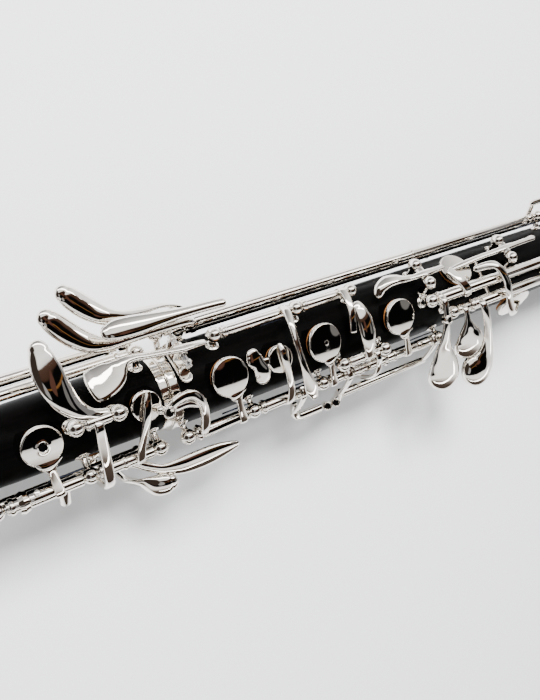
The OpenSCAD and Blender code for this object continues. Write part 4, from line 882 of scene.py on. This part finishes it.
# ---------------------------------------------------------------- posts
p = Posts("upper_posts")
p.row("a_key", 76.3, 100.3, 129.3, 155.3, 176.8)
p.row("trill_key_1", 57.8, 177.3)
p.row("trill_key_2", 42.8, 171.8)
p.row("octave_key_2", 2.3, 177.1)
p.row("octave_key_1", 31.3, 175.9)
p.row("g_sharp_key", 153.1, 165.3)
p.done()
p = Posts("lower_posts")
p.row("f_sharp_key", 2.3, 25.9, 53.6, 108.5)
p.row("trill_lever", 17.8, 48.3, 71.2)
p.row("low_b_lever", 2.3, 180.9)
p.row("low_b_flat_lever", 12, 235.5)
p.row("f_key", 60.1, 78.5)
p.row("c_key", 100.7, 187.5, 205.5)
p.row("e_flat_key", 110.8, 169.5)
p.row("low_b_flat_key", 258.5, 290.5)
for key in ("left_f_lever", "resonance_lever", "e_flat_cup_key"):
    p.pair(key, bracket=key == "left_f_lever")
p.done()


# ---------------------------------------------------------------- turned rings
def turned(node, *profiles):
    """Replaces a turned node with rings of finer section; places run from the low-X end of its box."""
    shape = Shape()
    for profile in profiles:
        shape.lathe(Vector((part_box(node)[0].x / MM, 0, 0)), X, list(profile) + [profile[0]], 144)
    return shape.build(node + "_work", "silver_plate", body_of_node[node], node)


def band(start, end, inner, outer):
    """A ring with eased edges and a fine line cut near each of them."""
    out = [(start, inner), (start, outer - 0.22), (start + 0.07, outer - 0.07), (start + 0.22, outer)]
    for at in (start + 0.62, end - 0.62):
        out += [(at - 0.1, outer), (at - 0.04, outer - 0.09), (at + 0.04, outer - 0.09), (at + 0.1, outer)]
    return out + [(end - 0.22, outer), (end - 0.07, outer - 0.07), (end, outer - 0.22), (end, inner)]


turned("ferrules", band(0, 2.75, 10.6, 11.75), band(2.8, 5.6, 11.4, 12.72), band(246.8, 251.8, 13.7, 14.9))
turned("top_ring", [(0, 4.27), (0, 8.2), (0.12, 8.5), (0.4, 8.8), (0.8, 8.98), (2.2, 9), (2.6, 8.86),
                    (2.9, 8.7), (3, 8.6), (3, 4.27)])
turned("bell_ring", [(0, 21.51), (0, 22.5), (0.1, 22.66), (1.7, 22.92), (3.4, 23.2), (4.9, 23.46),
                     (5.4, 23.42), (5.8, 23.2), (6, 22.8), (6, 21.1), (5.9, 20.9), (5.4, 20.9),
                     (5.4, 22.3), (3.6, 22.04), (1.8, 21.78)])
turned("reed_socket", [(0, 3.55), (0.1, 3.45), (21, 3.45), (21, 2.2), (22, 2.2), (22, 4.25), (0.1, 4.25),
                       (0, 4.15)])

# ---------------------------------------------------------------- CAD nodes that show
ease = bpy.data.node_groups.new("ease", "GeometryNodeTree")
for way in ("INPUT", "OUTPUT"):
    ease.interface.new_socket("Geometry", in_out=way, socket_type="NodeSocketGeometry")
g = Graph(ease)
inlet, outlet = g.node("NodeGroupInput"), g.node("NodeGroupOutput")
soft, crisp = g.node("GeometryNodeSetShadeSmooth"), g.node("GeometryNodeSetShadeSmooth", domain="EDGE")
angle = g.node("GeometryNodeInputMeshEdgeAngle")
shallow = g.node("FunctionNodeCompare", operation="LESS_EQUAL")
shallow.inputs[1].default_value = PACKED_CREASE
g.link(angle.outputs[0], shallow.inputs[0])
g.link(inlet.outputs[0], soft.inputs["Geometry"])
g.link(soft.outputs[0], crisp.inputs["Geometry"])
g.link(shallow.outputs[0], crisp.inputs["Shade Smooth"])
g.link(crisp.outputs[0], outlet.inputs[0])

slot_of = {s["node"]: s["material_slot"] for s in record["subparts"]}
for name, node in frame["nodes"].items():
    if node.hide_render:
        continue
    node.modifiers.new("ease", "NODES").node_group = ease
    node.data.materials.clear()
    node.data.materials.append(materials[slot_of[name]])

# ---------------------------------------------------------------- floor, light and camera
FLOOR_SIZE, FLOOR_GAP = 14, 0.0002
MIDDLE = (0.3, 0, 0)

bpy.ops.mesh.primitive_plane_add(size=FLOOR_SIZE, location=(*MIDDLE[:2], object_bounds()[0].z - FLOOR_GAP))
floor = bpy.context.object
floor.name = "floor"
floor.data.materials.append(floor_material())


def lamp(name, place, size, radiance, color, seen=True):
    """An area light aimed at the middle; an unseen one lights the floor but makes no reflection."""
    data = bpy.data.lights.new(name, "AREA")
    data.shape = "RECTANGLE"
    data.size, data.size_y = size
    data.energy = radiance * math.pi * size[0] * size[1]
    data.color = color
    lit = bpy.data.objects.new(name, data)
    bpy.context.scene.collection.objects.link(lit)
    lit.location = place
    lit.rotation_euler = (Vector(MIDDLE) - Vector(place)).to_track_quat("-Z", "Y").to_euler()
    lit.visible_glossy = seen


WORLD_STRENGTH = 1.9
DIM_ROOM, BACKDROP = (0.024, 0.018, 0.015), (1.13, 1.145, 1.16)


def world_light(*patches):
    """A pale studio: a dark gap overhead runs along the instrument between two bright sides, and the room
    beyond the instrument's top end is dim. Each patch in the gap is (direction, inner angle, outer angle,
    colour). The camera itself sees a plain pale backdrop."""
    world = bpy.data.worlds.new("studio")
    bpy.context.scene.world = world
    world.use_nodes = True
    g = Graph(world.node_tree)
    place = g.node("ShaderNodeTexCoord")

    def along(direction):
        """How far the place looked at lies along a direction, as a cosine."""
        dot = g.node("ShaderNodeVectorMath", operation="DOT_PRODUCT")
        g.link(place.outputs["Generated"], dot.inputs[0])
        dot.inputs[1].default_value = Vector(direction).normalized()
        return dot.outputs["Value"]

    def near(direction, inner, outer):
        """1 within the inner angle of a direction, falling to 0 at the outer angle."""
        return g.map(along(direction), math.cos(math.radians(outer)), math.cos(math.radians(inner)), 0, 1)

    across, height = along((0, 1, 0.09)), along((0, 0, 1))
    off = g.node("ShaderNodeMath", operation="ABSOLUTE")
    g.link(across, off.inputs[0])
    sides = g.ramp(g.map(across, -1, 1, 0, 1),
                   [(0.0, (0.03, 0.022, 0.018)), (0.12, (0.05, 0.038, 0.031)), (0.16, (0.13, 0.11, 0.10)),
                    (0.20, (0.50, 0.48, 0.46)), (0.25, (0.95, 0.95, 0.94)), (0.32, (0.85, 0.85, 0.85)),
                    (0.68, (0.95, 0.95, 0.94)), (0.80, (0.80, 0.80, 0.79)), (0.92, (0.34, 0.34, 0.345)),
                    (1.0, (0.16, 0.16, 0.165))])
    sky = g.blend(g.map(off.outputs[0], 0.2, 0.4, 0, 1), (0.13, 0.13, 0.135), sides)
    gap = g.ramp(g.map(across, -0.34, 0.34, 0, 1),
                 [(0.0, (0.0015, 0.0014, 0.0014)), (0.56, (0.001, 0.001, 0.001)), (0.58, (0.13, 0.06, 0.018)),
                  (0.61, (0.13, 0.06, 0.018)), (0.63, (0.002, 0.002, 0.002)), (0.80, (0.002, 0.002, 0.002)),
                  (0.84, (0.035, 0.018, 0.012)), (1.0, (0.06, 0.035, 0.027))])
    for direction, inner, outer, tint in patches:
        gap = g.blend(near(direction, inner, outer), gap, tint)
    overhead = g.node("ShaderNodeMath", operation="MULTIPLY")
    g.link(g.map(off.outputs[0], 0.34, 0.32, 0, 1), overhead.inputs[0])
    g.link(g.map(height, 0.40, 0.44, 0, 1), overhead.inputs[1])
    back = g.node("ShaderNodeBackground")
    back.inputs["Strength"].default_value = WORLD_STRENGTH
    room = near((-0.72, 0.2, 0.66), 25, 30)
    light = g.blend(room, g.blend(overhead.outputs[0], sky, gap), DIM_ROOM)
    rays = g.node("ShaderNodeLightPath")
    g.link(g.blend(rays.outputs["Is Camera Ray"], light, BACKDROP), back.inputs["Color"])
    out = g.node("ShaderNodeOutputWorld")
    g.link(back.outputs[0], out.inputs[0])


world_light(
    ((0.26, 0.02, 0.96), 7, 8.5, (0.060, 0.028, 0.020)),
    ((0.74, -0.12, 0.66), 6, 7, (0.10, 0.10, 0.10)),
    ((-0.36, -0.10, 0.93), 11, 13, (0.22, 0.22, 0.225)),
)
lamp("key_light", (0.12, 0.78, 0.95), (0.45, 0.45), 88, (1, 0.992, 0.98), seen=False)
lamp("left_strip", (0.5, 0.72, 0.86), (1.8, 0.12), 13, (1, 0.985, 0.96))
lamp("right_strip", (0.5, -0.86, 0.66), (1.8, 0.07), 10, (1, 0.99, 0.97))

CAMERA_PLACE, LENS, SENSOR = (0.1699, 0.0517, 0.1983), 36.3, 36
forward = Vector((0.495, -0.218, -0.841)).normalized()
right = Vector((0.820, -0.205, 0.535))
right = (right - forward * right.dot(forward)).normalized()
camera_data = bpy.data.cameras.new("camera")
camera_data.lens = LENS
camera_data.sensor_width = SENSOR
camera_data.clip_start = 0.01
camera = bpy.data.objects.new("camera", camera_data)
bpy.context.scene.collection.objects.link(camera)
camera.matrix_world = Matrix.Translation(CAMERA_PLACE) @ Matrix(
    (right, right.cross(forward), -forward)).transposed().to_4x4()
bpy.context.scene.camera = camera
